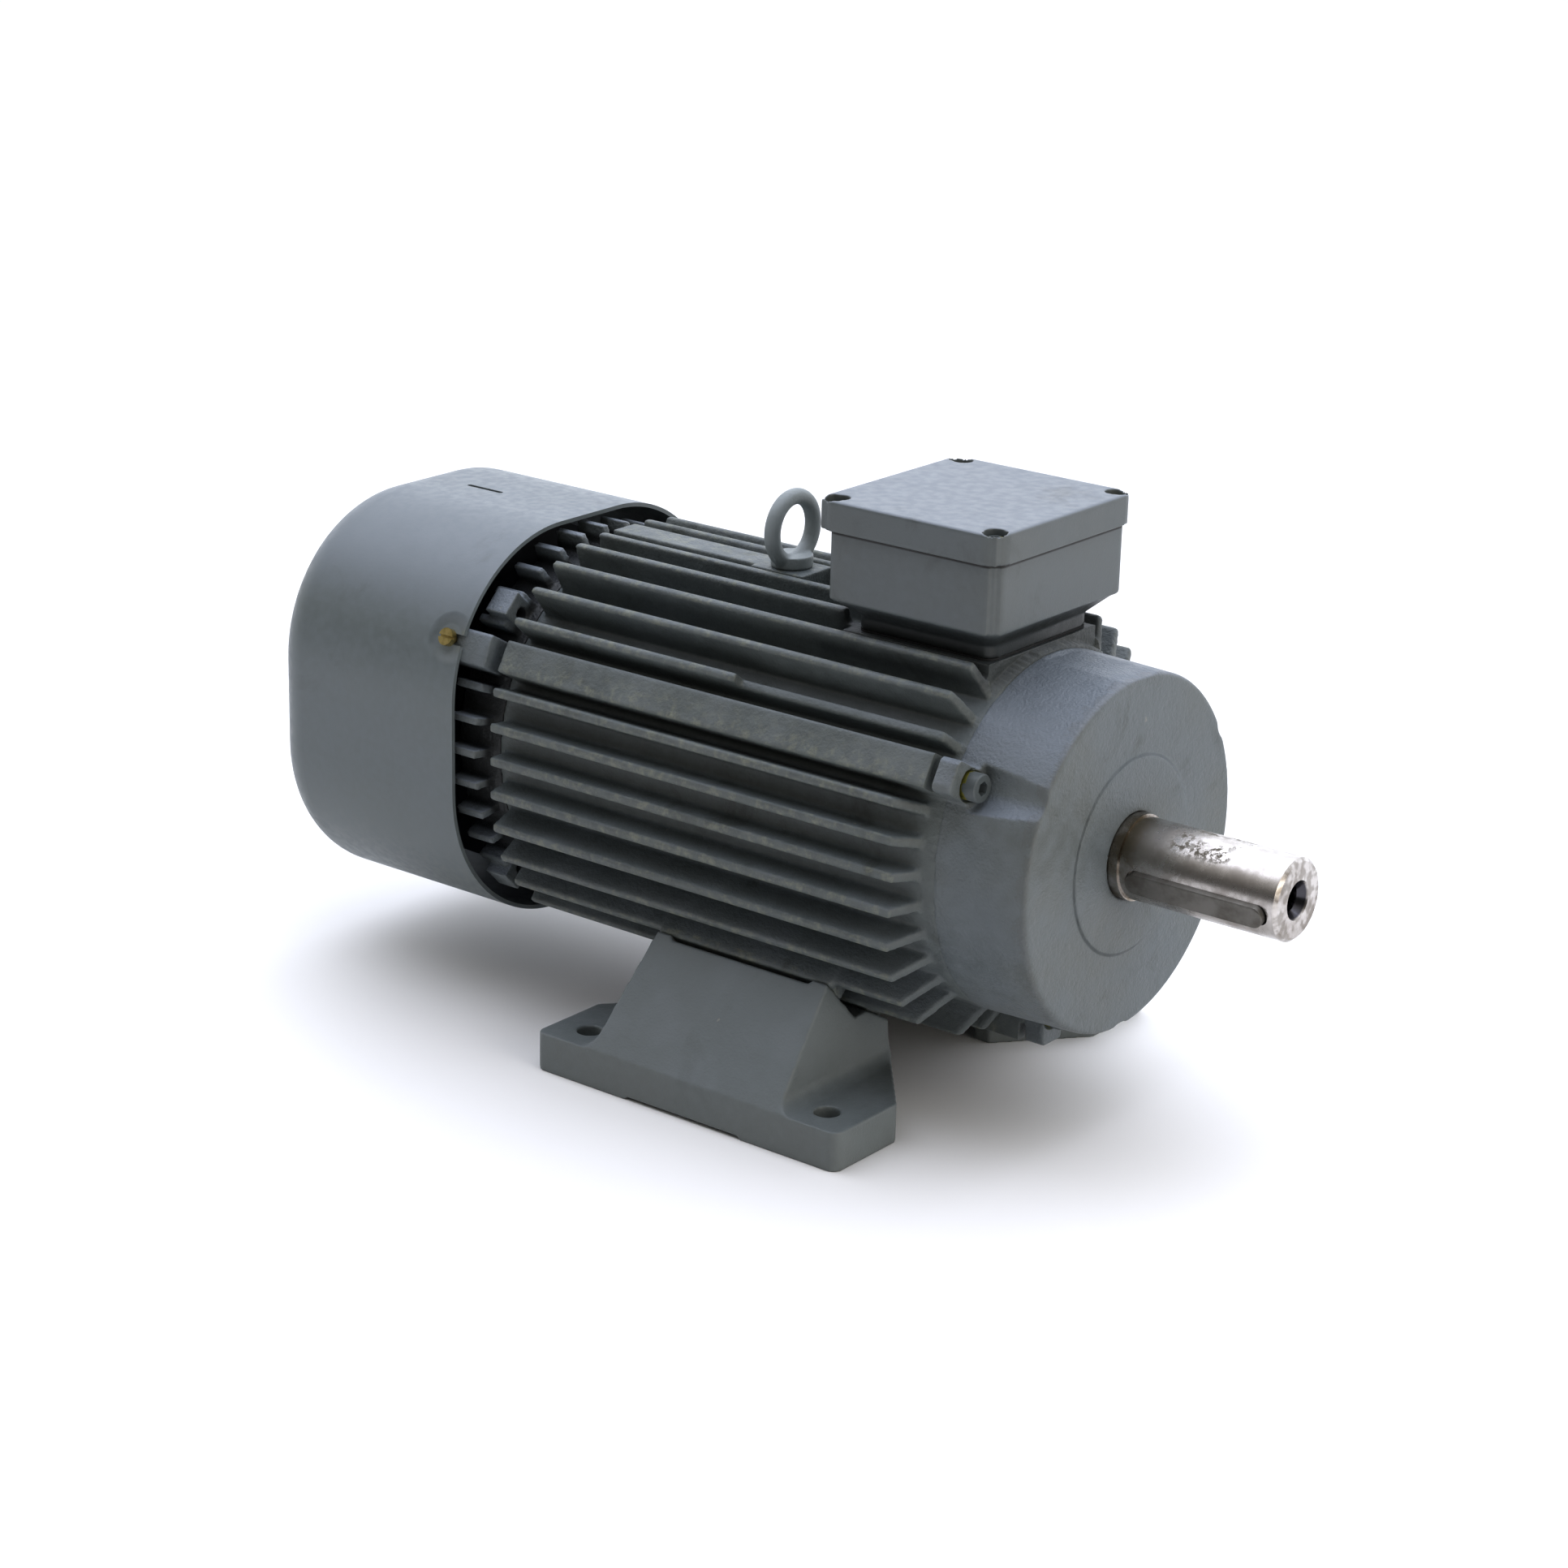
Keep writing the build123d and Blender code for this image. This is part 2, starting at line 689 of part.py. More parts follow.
def cover_spot(side, distance):
    # Plane square to the cover at a screw: side is 1 or -1 on an upper corner, 0 on the underside
    tilt = radians(cover_screw_tilt if side else -90)
    outward = (0, side * cos(tilt), sin(tilt))
    corner_z = corner_offset if side else -corner_offset
    start = Vector(cover_screw_x, side * corner_offset, shaft_height + corner_z)
    return Plane(origin=start + Vector(*outward) * distance, x_dir=(1, 0, 0), z_dir=outward)


cover_sides = (1, -1, 0)

with BuildPart() as shield_ribs:
    # Their ends slope towards the housing
    extrude(bars(shield_rib_start_x, rib_angles, barrel_bore, shield_rib_radius, shield_rib_width),
            amount=shield_rib_end_x - shield_rib_start_x)
    slope_x = shield_rib_start_x - shield_rib_slope
    revolve(turned([(shield_rib_start_x, barrel_bore), (shield_rib_start_x, barrel_radius),
                    (slope_x, shield_rib_radius + 1), (shield_rib_end_x, shield_rib_radius + 1),
                    (shield_rib_end_x, barrel_bore)]), axis=shaft_axis, mode=Mode.INTERSECT)

with BuildPart() as fan_end_shield:
    section = turned([
        (fan_joint_x + spigot_length, spigot_bore),
        (fan_joint_x + spigot_length, barrel_bore),
        (fan_joint_x, barrel_bore),
        (fan_joint_x, barrel_radius),
        (fan_shield_rear_x, barrel_radius),
        (fan_shield_rear_x, hub_radius),
        (fan_nose_x, hub_radius - fan_shield_nose),
        (fan_nose_x, tail_clearance_radius),
        (fan_seat_x - shoulder_recess, tail_clearance_radius),
        (fan_seat_x - shoulder_recess, shoulder_radius),
        (fan_seat_x, shoulder_radius),
        (fan_seat_x, bearing_radius),
        (fan_hub_x, bearing_radius),
        (fan_hub_x, hub_radius),
        (fan_shield_rear_x + shield_wall, hub_radius + 2),
        (fan_shield_rear_x + shield_wall, spigot_bore),
    ])
    # Arms that end on the inside of the cover
    extrude(bars(arm_start_x, screw_angles, barrel_bore, arm_reach, screw_rib_width),
            amount=arm_end_x - arm_start_x)
    with BuildSketch(across(arm_start_x)):
        RectangleRounded(2 * cover_inner_half, 2 * cover_inner_half, cover_inner_corner)
    extrude(amount=arm_end_x - arm_start_x, mode=Mode.INTERSECT)
    revolve(section, axis=shaft_axis)
    add(shield_ribs.part)
    extrude(bars(jacking_boss_start_x, jacking_boss_angles, barrel_bore, jacking_boss_radius, jacking_boss_width),
            amount=jacking_boss_end_x - jacking_boss_start_x)
    extrude(discs(jacking_boss_start_x, jacking_boss_angles, jacking_hole_radius, jacking_hole_diameter),
            amount=jacking_boss_end_x - jacking_boss_start_x, mode=Mode.SUBTRACT)
    # Passages and rear seats of the shield screws
    extrude(discs(fan_joint_x, screw_angles, screw_circle_radius, shield_screw_size + 1),
            amount=fan_screw_seat_x - fan_joint_x, mode=Mode.SUBTRACT)
    extrude(discs(fan_screw_seat_x, screw_angles, screw_circle_radius, 2 * shield_screw_size - 1),
            amount=arm_end_x - fan_screw_seat_x, mode=Mode.SUBTRACT)
    for side in cover_sides:
        with BuildSketch(cover_spot(side, cover_inner_corner)):
            Circle(cover_screw_size / 2)
        extrude(amount=-(cover_screw_length - cover_wall), mode=Mode.SUBTRACT)
save(fan_end_shield.part, "fan_end_shield")

with BuildPart() as fan_end_screws:
    for angle in screw_angles:
        with Locations(facing(fan_screw_seat_x, screw_circle_radius, angle, -1)):
            add(socket_screw(shield_screw_size, shield_screw_length))
save(fan_end_screws.part, "fan_end_screws")

# Fan cover: a pressed sheet hood with an air grille in its rear wall
cover_length = cover_front_x - cover_rear_x

with BuildPart() as cover_space:
    with BuildSketch(across(cover_rear_x + cover_wall)):
        RectangleRounded(2 * cover_inner_half, 2 * cover_inner_half, cover_inner_corner)
    extrude(amount=cover_length)
    fillet(cover_space.faces().sort_by(Axis.X)[0].edges(), cover_rear_rounding - cover_wall)

with BuildPart() as fan_cover:
    with BuildSketch(across(cover_rear_x)):
        RectangleRounded(2 * cover_half, 2 * cover_half, cover_corner)
    extrude(amount=cover_length)
    fillet(fan_cover.faces().sort_by(Axis.X)[0].edges(), cover_rear_rounding)
    add(cover_space.part, mode=Mode.SUBTRACT)
    # Concentric air slots, crossed by bridges
    with BuildSketch(across(cover_rear_x)):
        for number in reversed(range(grille_rings)):
            slot_middle = grille_first_radius + number * grille_pitch
            Circle(slot_middle + grille_slot_width / 2)
            Circle(slot_middle - grille_slot_width / 2, mode=Mode.SUBTRACT)
        with PolarLocations(0, grille_bridges // 2, angular_range=180):
            Rectangle(2 * cover_half, grille_bridge_width, mode=Mode.SUBTRACT)
    extrude(amount=cover_wall, mode=Mode.SUBTRACT)
    # Slots that let the cover slide under its screws
    for side in cover_sides:
        with BuildSketch(cover_spot(side, cover_corner + cover_wall)):
            Circle(cover_slot_width / 2)
            with Locations(((cover_front_x - cover_screw_x) / 2, 0)):
                Rectangle(cover_front_x - cover_screw_x, cover_slot_width)
        extrude(amount=-3 * cover_wall, mode=Mode.SUBTRACT)
    with BuildSketch(Plane.XY.offset(shaft_height + cover_half)):
        with Locations((top_slot_x, 0)):
            SlotOverall(top_slot_length, top_slot_width)
    extrude(amount=-cover_wall, mode=Mode.SUBTRACT)
save(fan_cover.part, "fan_cover")

with BuildPart() as fan_cover_screws:
    for side in cover_sides:
        with Locations(cover_spot(side, cover_corner)):
            add(slotted_screw(cover_screw_size, cover_screw_length))
save(fan_cover_screws.part, "fan_cover_screws")

# Shaft, stepped for the fan, the bearings and the core, with a threaded centre hole
shaft_end_x = shoulder_x + shaft_end_length
shaft_radius = shaft_end_diameter / 2
core_start_x = core_middle_x - core_length / 2
core_end_x = core_middle_x + core_length / 2
fan_bearing_inner_x = fan_bearing_x + bearing_width
fan_hub_rear_x = fan_front_x - fan_hub_length
tail_end_x = fan_hub_rear_x - shaft_tail
fan_clip_x = fan_hub_rear_x - fan_clip_thickness
groove_radius = fan_seat_radius - fan_clip_groove
centre_cone_depth = (centre_mouth_diameter - centre_recess_diameter) / 2 * tan(radians(60))
keyway_middle_x = shaft_end_x - key_end_gap - key_length / 2
keyway_floor = shaft_radius - keyway_depth

with BuildPart() as rotor_shaft:
    section = turned([
        (tail_end_x, 0),
        (tail_end_x, fan_seat_radius - shaft_end_chamfer),
        (tail_end_x + shaft_end_chamfer, fan_seat_radius),
        (fan_clip_x, fan_seat_radius),
        (fan_clip_x, groove_radius),
        (fan_hub_rear_x, groove_radius),
        (fan_hub_rear_x, fan_seat_radius),
        (fan_front_x, fan_seat_radius),
        (fan_front_x, tail_radius),
        (fan_bearing_x - shaft_end_chamfer, tail_radius),
        (fan_bearing_x, journal_radius),
        (fan_bearing_inner_x, journal_radius),
        (fan_bearing_inner_x, shaft_shoulder_radius),
        (core_start_x, shaft_shoulder_radius),
        (core_start_x, core_seat_radius),
        (core_end_x, core_seat_radius),
        (core_end_x, core_collar_radius),
        (core_end_x + core_collar_length, core_collar_radius),
        (core_end_x + core_collar_length, shaft_shoulder_radius),
        (drive_bearing_x, shaft_shoulder_radius),
        (drive_bearing_x, journal_radius),
        (shoulder_x, journal_radius),
        (shoulder_x, shaft_radius),
        (shaft_end_x - shaft_end_chamfer, shaft_radius),
        (shaft_end_x, shaft_radius - shaft_end_chamfer),
        (shaft_end_x, centre_mouth_diameter / 2),
        (shaft_end_x - centre_cone_depth, centre_recess_diameter / 2),
        (shaft_end_x - centre_recess_depth, centre_recess_diameter / 2),
        (shaft_end_x - centre_recess_depth - 1, centre_thread_diameter / 2),
        (shaft_end_x - centre_thread_depth, centre_thread_diameter / 2),
        (shaft_end_x - centre_thread_depth - 3, 0),
    ])
    revolve(section, axis=shaft_axis)
    with BuildSketch(radial(keyway_middle_x, key_angle).offset(shaft_radius)):
        SlotOverall(keyway_length, key_width)
    extrude(amount=-keyway_depth, mode=Mode.SUBTRACT)
save(rotor_shaft.part, "rotor_shaft")

with BuildPart() as shaft_key:
    with BuildSketch(radial(keyway_middle_x, key_angle).offset(keyway_floor)):
        SlotOverall(key_length, key_width)
    extrude(amount=key_height)
    chamfer(shaft_key.faces().filter_by(GeomType.PLANE).sort_by(
        lambda f: f.center().Y * cos(radians(key_angle)) + f.center().Z * sin(radians(key_angle)))[-1].edges(), key_chamfer)
save(shaft_key.part, "shaft_key")

# Rotor core and its cast cage
bar_outer = core_radius - cage_bar_cover
bar_angles = [number * 360 / cage_bar_count for number in range(cage_bar_count)]
vane_angles = [number * 360 / cage_vane_count for number in range(cage_vane_count)]

with BuildPart() as rotor_core:
    revolve(ring(core_start_x, core_end_x, core_seat_radius, core_radius), axis=shaft_axis)
    extrude(bars(core_start_x, bar_angles, bar_outer - cage_bar_depth, bar_outer, cage_bar_width),
            amount=core_length, mode=Mode.SUBTRACT)
save(rotor_core.part, "rotor_core")

with BuildPart() as rotor_cage:
    extrude(bars(core_start_x, bar_angles, bar_outer - cage_bar_depth, bar_outer, cage_bar_width),
            amount=core_length)
    for start, direction in ((core_start_x, -1), (core_end_x, 1)):
        ring_end = start + direction * end_ring_length
        revolve(ring(start, ring_end, bar_outer - end_ring_depth, bar_outer), axis=shaft_axis)
        extrude(bars(ring_end, vane_angles, bar_outer - end_ring_depth, bar_outer, cage_vane_width),
                amount=direction * cage_vane_length)
save(rotor_cage.part, "rotor_cage")

# Stator core and winding
stator_bore = core_radius + air_gap
slot_angles = [number * 360 / slot_count for number in range(slot_count)]

with BuildPart() as stator_core:
    revolve(ring(core_start_x, core_end_x, stator_bore, barrel_bore), axis=shaft_axis)
    extrude(bars(core_start_x, slot_angles, core_radius, stator_bore + slot_depth, slot_width),
            amount=core_length, mode=Mode.SUBTRACT)
save(stator_core.part, "stator_core")

with BuildPart() as stator_winding:
    extrude(bars(core_start_x, slot_angles, stator_bore + slot_opening, stator_bore + slot_depth, slot_width),
            amount=core_length)
    for start, direction in ((core_start_x, -1), (core_end_x, 1)):
        turn_end = start + direction * end_turn_length
        turn_inner = stator_bore + 2 * slot_opening
        turn_outer = turn_inner + end_turn_height
        turn_bend = direction * end_turn_rounding
        section = turned([
            (start, turn_inner),
            (start, turn_outer - end_turn_rounding / 2),
            (start + turn_bend, turn_outer),
            (turn_end - turn_bend, turn_outer),
            (turn_end, turn_outer - end_turn_rounding),
            (turn_end, turn_inner + end_turn_rounding),
            (turn_end - turn_bend, turn_inner),
        ])
        revolve(section, axis=shaft_axis)
save(stator_winding.part, "stator_winding")

# Ball bearings: outer rings in the shields, inner rings on the shaft, balls and cages between
pitch_radius = (bearing_radius + journal_radius) / 2
ball_radius = ball_diameter / 2
bearings = (("drive", drive_bearing_x), ("fan", fan_bearing_x))
ball_angles = [number * 360 / ball_count for number in range(ball_count)]

for end, start in bearings:
    middle = start + bearing_width / 2

    with BuildPart() as race_space:
        with Locations(Location((middle, 0, shaft_height), (0, 90, 0))):
            Torus(pitch_radius, ball_radius + ball_play)

    with BuildPart() as outer_ring:
        revolve(ring(start, start + bearing_width, bearing_radius - race_step, bearing_radius), axis=shaft_axis)
        add(race_space.part, mode=Mode.SUBTRACT)
    save(outer_ring.part, f"{end}_bearing_outer_ring")

    with BuildPart() as inner_ring:
        revolve(ring(start, start + bearing_width, journal_radius, journal_radius + race_step), axis=shaft_axis)
        add(race_space.part, mode=Mode.SUBTRACT)
    save(inner_ring.part, f"{end}_bearing_inner_ring")

    with BuildPart() as balls:
        for angle in ball_angles:
            with Locations(facing(middle, pitch_radius, angle, 1)):
                Sphere(ball_radius)
    save(balls.part, f"{end}_bearing_balls")

    with BuildPart() as ball_cage:
        revolve(ring(middle - cage_width / 2, middle + cage_width / 2, pitch_radius - cage_wall / 2,
                     pitch_radius + cage_wall / 2), axis=shaft_axis)
        for angle in ball_angles:
            with BuildSketch(radial(middle, angle).offset(pitch_radius - cage_wall)):
                Circle(ball_radius + cage_pocket_play)
        extrude(amount=2 * cage_wall, mode=Mode.SUBTRACT)
    save(ball_cage.part, f"{end}_bearing_cage")

with BuildPart() as bearing_clip:
    clip_front_x = drive_bearing_x - bearing_clip_thickness
    clip_inner = clip_groove_radius - bearing_clip_width
    revolve(ring(clip_front_x, drive_bearing_x, clip_inner, clip_groove_radius), axis=shaft_axis)
    # Gap at the bottom, and an eye at each side of it for the pliers
    extrude(bars(clip_front_x, [270], 0, hub_radius, clip_gap), amount=bearing_clip_thickness, mode=Mode.SUBTRACT)
    eye_angles = (270 - clip_eye_spread, 270 + clip_eye_spread)
    extrude(discs(clip_front_x, eye_angles, clip_inner, clip_eye_diameter), amount=bearing_clip_thickness)
    extrude(discs(clip_front_x, eye_angles, clip_inner, clip_eye_hole), amount=bearing_clip_thickness,
            mode=Mode.SUBTRACT)
save(bearing_clip.part, "bearing_clip")

with BuildPart() as wave_spring:
    revolve(ring(fan_seat_x, fan_bearing_x, bearing_radius - wave_spring_wall, bearing_radius), axis=shaft_axis)
    # Shallow hollows, cut in turn from both faces, leave the waves
    wave_step = 180 / wave_count
    for number in range(2 * wave_count):
        side = 1 if number % 2 else -1
        hollow_x = (fan_seat_x + fan_bearing_x) / 2 + side * (wave_hollow_radius + wave_offset)
        outward = radial(hollow_x, number * wave_step).offset(bearing_radius - wave_spring_wall - 1)
        with BuildSketch(outward):
            Circle(wave_hollow_radius)
        extrude(amount=wave_spring_wall + 2, mode=Mode.SUBTRACT)
save(wave_spring.part, "wave_spring")

# Lip seal in the drive-end shield and rubber ring on the shaft behind the fan-end shield
lip_radius = journal_radius + running_gap
lip_outer = lip_radius + seal_wall_thickness

with BuildPart() as drive_end_seal:
    section = turned([
        (seal_seat_x, seal_outer_radius),
        (seal_front_x, seal_outer_radius),
        (seal_front_x, lip_radius + 1),
        (seal_front_x - 1, lip_radius),
        (seal_seat_x + seal_wall_thickness, lip_radius),
        (seal_seat_x + seal_wall_thickness, lip_outer),
        (seal_front_x - seal_wall_thickness, lip_outer),
        (seal_front_x - seal_wall_thickness, seal_outer_radius - seal_wall_thickness),
        (seal_seat_x, seal_outer_radius - seal_wall_thickness),
    ])
    revolve(section, axis=shaft_axis)
save(drive_end_seal.part, "drive_end_seal")

slinger_front_x = fan_nose_x - running_gap

with BuildPart() as fan_end_seal:
    section = turned([
        (slinger_front_x - slinger_width, tail_radius),
        (slinger_front_x - slinger_width, slinger_radius - 2),
        (slinger_front_x - slinger_width / 2, slinger_radius - 2),
        (slinger_front_x, slinger_radius),
        (slinger_front_x, slinger_radius - 1),
        (slinger_front_x - slinger_width / 4, slinger_radius - 3),
        (slinger_front_x - slinger_width / 4, tail_radius),
    ])
    revolve(section, axis=shaft_axis)
save(fan_end_seal.part, "fan_end_seal")

# Fan: hub, back disc and straight blades that suit both directions of rotation
blade_angles = [number * 360 / fan_blade_count for number in range(fan_blade_count)]

with BuildPart() as fan:
    for angle in blade_angles:
        with BuildSketch(Plane(origin=(0, 0, shaft_height), x_dir=(1, 0, 0),
                               z_dir=(0, -sin(radians(angle)), cos(radians(angle))))):
            with BuildLine():
                Polyline(
                    (fan_front_x, (fan_seat_radius + fan_hub_radius) / 2),
                    (fan_front_x, fan_radius),
                    (fan_front_x - fan_tip_length, fan_radius),
                    (fan_rear_x, fan_shoulder_radius),
                    (fan_rear_x, fan_hub_radius),
                    (fan_hub_rear_x, (fan_seat_radius + fan_hub_radius) / 2),
                    close=True,
                )
            make_face()
        extrude(amount=fan_blade_thickness / 2, both=True)
    revolve(ring(fan_front_x - fan_disc_thickness, fan_front_x, fan_seat_radius, fan_radius), axis=shaft_axis)
    revolve(ring(fan_hub_rear_x, fan_front_x, fan_seat_radius, fan_hub_radius), axis=shaft_axis)
save(fan.part, "fan")

with BuildPart() as fan_clip:
    revolve(ring(fan_clip_x, fan_hub_rear_x, groove_radius, groove_radius + fan_clip_width), axis=shaft_axis)
    extrude(bars(fan_clip_x, [270], 0, fan_hub_radius, clip_gap), amount=fan_clip_thickness, mode=Mode.SUBTRACT)
save(fan_clip.part, "fan_clip")

# Terminal box: a flared casting on the housing seat
box_floor_z = box_base_z + box_floor
box_inner_length = box_length - 2 * box_wall
box_inner_width = box_width - 2 * box_wall
flare_space = box_flare - 2
flare_top_z = box_base_z + box_flare
lid_seat_z = box_rim_z + lid_gasket_thickness
lid_screw_seat_z = lid_top_z - lid_recess_depth
box_screw_spots = [(box_middle_x + x * box_screw_span_x / 2, y * box_screw_span_y / 2)
                   for x in (-1, 1) for y in (-1, 1)]
lid_screw_spots = [(box_middle_x + x * lid_hole_span_x / 2, y * lid_hole_span_y / 2)
                   for x in (-1, 1) for y in (-1, 1)]
entry_spots = [box_middle_x - entry_spacing / 2, box_middle_x + entry_spacing / 2]
lead_spot = (box_middle_x + lead_hole_shift, 0)
earth_spot = (box_middle_x + earth_screw_spot[0], earth_screw_spot[1])

with BuildPart() as terminal_box:
    with BuildSketch(Plane.XY.offset(box_base_z)):
        with Locations((box_middle_x, 0)):
            RectangleRounded(box_neck_length, box_neck_width, box_corner)
    with BuildSketch(Plane.XY.offset(flare_top_z)):
        with Locations((box_middle_x, 0)):
            RectangleRounded(box_length, box_width, box_corner)
    loft()
    with BuildSketch(Plane.XY.offset(flare_top_z)):
        with Locations((box_middle_x, 0)):
            RectangleRounded(box_length, box_width, box_corner)
    extrude(amount=box_rim_z - flare_top_z)
    with BuildSketch(Plane.XY.offset(box_base_z)):
        with Locations((box_middle_x, 0)):
            RectangleRounded(box_neck_length, box_neck_width, box_corner)
    extrude(amount=box_seat_z + seat_gasket_thickness - box_base_z)
    # Space inside, with a pillar left in each corner
    with BuildSketch(Plane.XY.offset(box_floor_z)):
        with Locations((box_middle_x, 0)):
            Rectangle(box_inner_length - 2 * flare_space, box_inner_width - 2 * flare_space)
    with BuildSketch(Plane.XY.offset(box_floor_z + flare_space)):
        with Locations((box_middle_x, 0)):
            Rectangle(box_inner_length, box_inner_width)
    loft(mode=Mode.SUBTRACT)
    with BuildSketch(Plane.XY.offset(box_floor_z + flare_space)):
        with Locations((box_middle_x, 0)):
            Rectangle(box_inner_length, box_inner_width)
        with Locations(*lid_screw_spots):
            Circle(pillar_diameter / 2, mode=Mode.SUBTRACT)
    extrude(amount=box_rim_z - box_floor_z - flare_space, mode=Mode.SUBTRACT)
    with BuildSketch(Plane.XY.offset(box_rim_z)):
        with Locations(*lid_screw_spots):
            Circle(lid_screw_size / 2)
    extrude(amount=-(lid_screw_length - lid_screw_seat_z + box_rim_z), mode=Mode.SUBTRACT)
    with BuildSketch(Plane.XY.offset(box_floor_z)):
        with Locations(*box_screw_spots):
            Circle(box_screw_size / 2)
        with Locations(lead_spot):
            Circle(lead_hole_diameter / 2)
    extrude(amount=-(box_floor_z - box_seat_z), mode=Mode.SUBTRACT)
    with BuildSketch(Plane.XY.offset(box_floor_z)):
        with Locations(earth_spot):
            Circle(box_screw_size / 2)
    extrude(amount=-earth_screw_length, mode=Mode.SUBTRACT)
    # Two threaded cable entries in the far wall
    with BuildSketch(Plane.XZ.offset(-box_width / 2)):
        with Locations(*[(x, entry_z) for x in entry_spots]):
            Circle(entry_diameter / 2)
    extrude(amount=box_wall, mode=Mode.SUBTRACT)
save(terminal_box.part, "terminal_box")

with BuildPart() as box_gasket:
    with BuildSketch(Plane.XY.offset(box_seat_z)):
        with Locations((box_middle_x, 0)):
            RectangleRounded(box_neck_length, box_neck_width, box_corner)
        with Locations(lead_spot):
            Circle(lead_hole_diameter / 2, mode=Mode.SUBTRACT)
        with Locations(*box_screw_spots):
            Circle(box_screw_size / 2, mode=Mode.SUBTRACT)
    extrude(amount=seat_gasket_thickness)
save(box_gasket.part, "box_gasket")

with BuildPart() as box_screws:
    with Locations(*[(x, y, box_floor_z) for x, y in box_screw_spots]):
        add(socket_screw(box_screw_size, box_screw_length))
save(box_screws.part, "box_screws")

with BuildPart() as lid_gasket:
    with BuildSketch(Plane.XY.offset(box_rim_z)):
        with Locations((box_middle_x, 0)):
            RectangleRounded(box_length, box_width, box_corner)
            Rectangle(box_inner_length, box_inner_width, mode=Mode.SUBTRACT)
        with Locations(*lid_screw_spots):
            Circle(pillar_diameter / 2)
        with Locations((box_middle_x, 0)):
            RectangleRounded(box_length, box_width, box_corner, mode=Mode.INTERSECT)
        with Locations(*lid_screw_spots):
            Circle(lid_screw_size / 2, mode=Mode.SUBTRACT)
    extrude(amount=lid_gasket_thickness)
save(lid_gasket.part, "lid_gasket")

# Lid of the terminal box, hollow underneath, with a deep recess over each screw
with BuildPart() as terminal_lid:
    with BuildSketch(Plane.XY.offset(lid_skirt_z)):
        with Locations((box_middle_x, 0)):
            RectangleRounded(box_length + 2 * lid_overhang, box_width + 2 * lid_overhang, box_corner + lid_overhang)
    extrude(amount=lid_top_z - lid_skirt_z)
    fillet(terminal_lid.faces().sort_by(Axis.Z)[-1].edges(), lid_edge_rounding)
    with BuildSketch(Plane.XY.offset(lid_skirt_z)):
        with Locations((box_middle_x, 0)):
            RectangleRounded(box_length + 2 * lid_skirt_play, box_width + 2 * lid_skirt_play,
                             box_corner + lid_skirt_play)
    extrude(amount=lid_seat_z - lid_skirt_z, mode=Mode.SUBTRACT)
    with BuildSketch(Plane.XY.offset(lid_seat_z)):
        with Locations((box_middle_x, 0)):
            Rectangle(box_inner_length, box_inner_width)
        with Locations(*lid_screw_spots):
            Circle(pillar_diameter / 2 + 2, mode=Mode.SUBTRACT)
    extrude(amount=lid_top_z - lid_wall - lid_seat_z, mode=Mode.SUBTRACT)
    with BuildSketch(Plane.XY.offset(lid_screw_seat_z)):
        with Locations(*lid_screw_spots):
            Circle(lid_recess_diameter / 2)
    extrude(amount=lid_recess_depth, mode=Mode.SUBTRACT)
    with BuildSketch(Plane.XY.offset(lid_seat_z)):
        with Locations(*lid_screw_spots):
            Circle(lid_screw_size / 2 + 0.25)
    extrude(amount=lid_screw_seat_z - lid_seat_z, mode=Mode.SUBTRACT)
save(terminal_lid.part, "terminal_lid")

with BuildPart() as lid_screws:
    with Locations(*[(x, y, lid_screw_seat_z) for x, y in lid_screw_spots]):
        add(socket_screw(lid_screw_size, lid_screw_length))
save(lid_screws.part, "lid_screws")

# Blanking plugs in the cable entries
with BuildPart() as entry_plugs:
    with BuildSketch(Plane.XZ.offset(-box_width / 2)):
        with Locations(*[(x, entry_z) for x in entry_spots]):
            Circle(plug_flange_diameter / 2)
    extrude(amount=-plug_flange_thickness)
    chamfer(entry_plugs.faces().sort_by(Axis.Y)[-2:].edges(), plug_edge_chamfer)
    with BuildSketch(Plane.XZ.offset(-box_width / 2)):
        with Locations(*[(x, entry_z) for x in entry_spots]):
            Circle(entry_diameter / 2)
    extrude(amount=plug_length)
    with BuildSketch(Plane.XZ.offset(-box_width / 2 - plug_flange_thickness)):
        with Locations(*[(x, entry_z) for x in entry_spots]):
            Rectangle(plug_flange_diameter, plug_slot_width)
    extrude(amount=plug_slot_depth, mode=Mode.SUBTRACT)
save(entry_plugs.part, "entry_plugs")

# Terminal block with six studs, their nuts and three links
block_x = box_middle_x + terminal_block_shift
block_top_z = box_floor_z + terminal_block_height
stud_spots = [(block_x + x * stud_row_span / 2, y * terminal_pitch) for x in (-1, 1) for y in (-1, 0, 1)]

with BuildPart() as terminal_block:
    with BuildSketch(Plane.XY.offset(box_floor_z)):
        with Locations((block_x, 0)):
            Rectangle(terminal_block_length, terminal_block_width)
    extrude(amount=terminal_block_height)
    with BuildSketch(Plane.XY.offset(block_top_z)):
        with Locations(*[(block_x, y * terminal_pitch) for y in (-1.5, -0.5, 0.5, 1.5)]):
            Rectangle(terminal_block_length, terminal_barrier)
    extrude(amount=terminal_barrier_height)
save(terminal_block.part, "terminal_block")

with BuildPart() as terminal_studs:
    with BuildSketch(Plane.XY.offset(block_top_z)):
        with Locations(*stud_spots):
            Circle(terminal_stud_diameter / 2)
    extrude(amount=terminal_stud_height)
save(terminal_studs.part, "terminal_studs")

with BuildPart() as terminal_links:
    with BuildSketch(Plane.XY.offset(block_top_z)):
        with Locations(*[(block_x, y * terminal_pitch) for y in (-1, 0, 1)]):
            SlotCenterToCenter(stud_row_span, link_width)
        with Locations(*stud_spots):
            Circle(terminal_stud_diameter / 2, mode=Mode.SUBTRACT)
    extrude(amount=link_thickness)
save(terminal_links.part, "terminal_links")

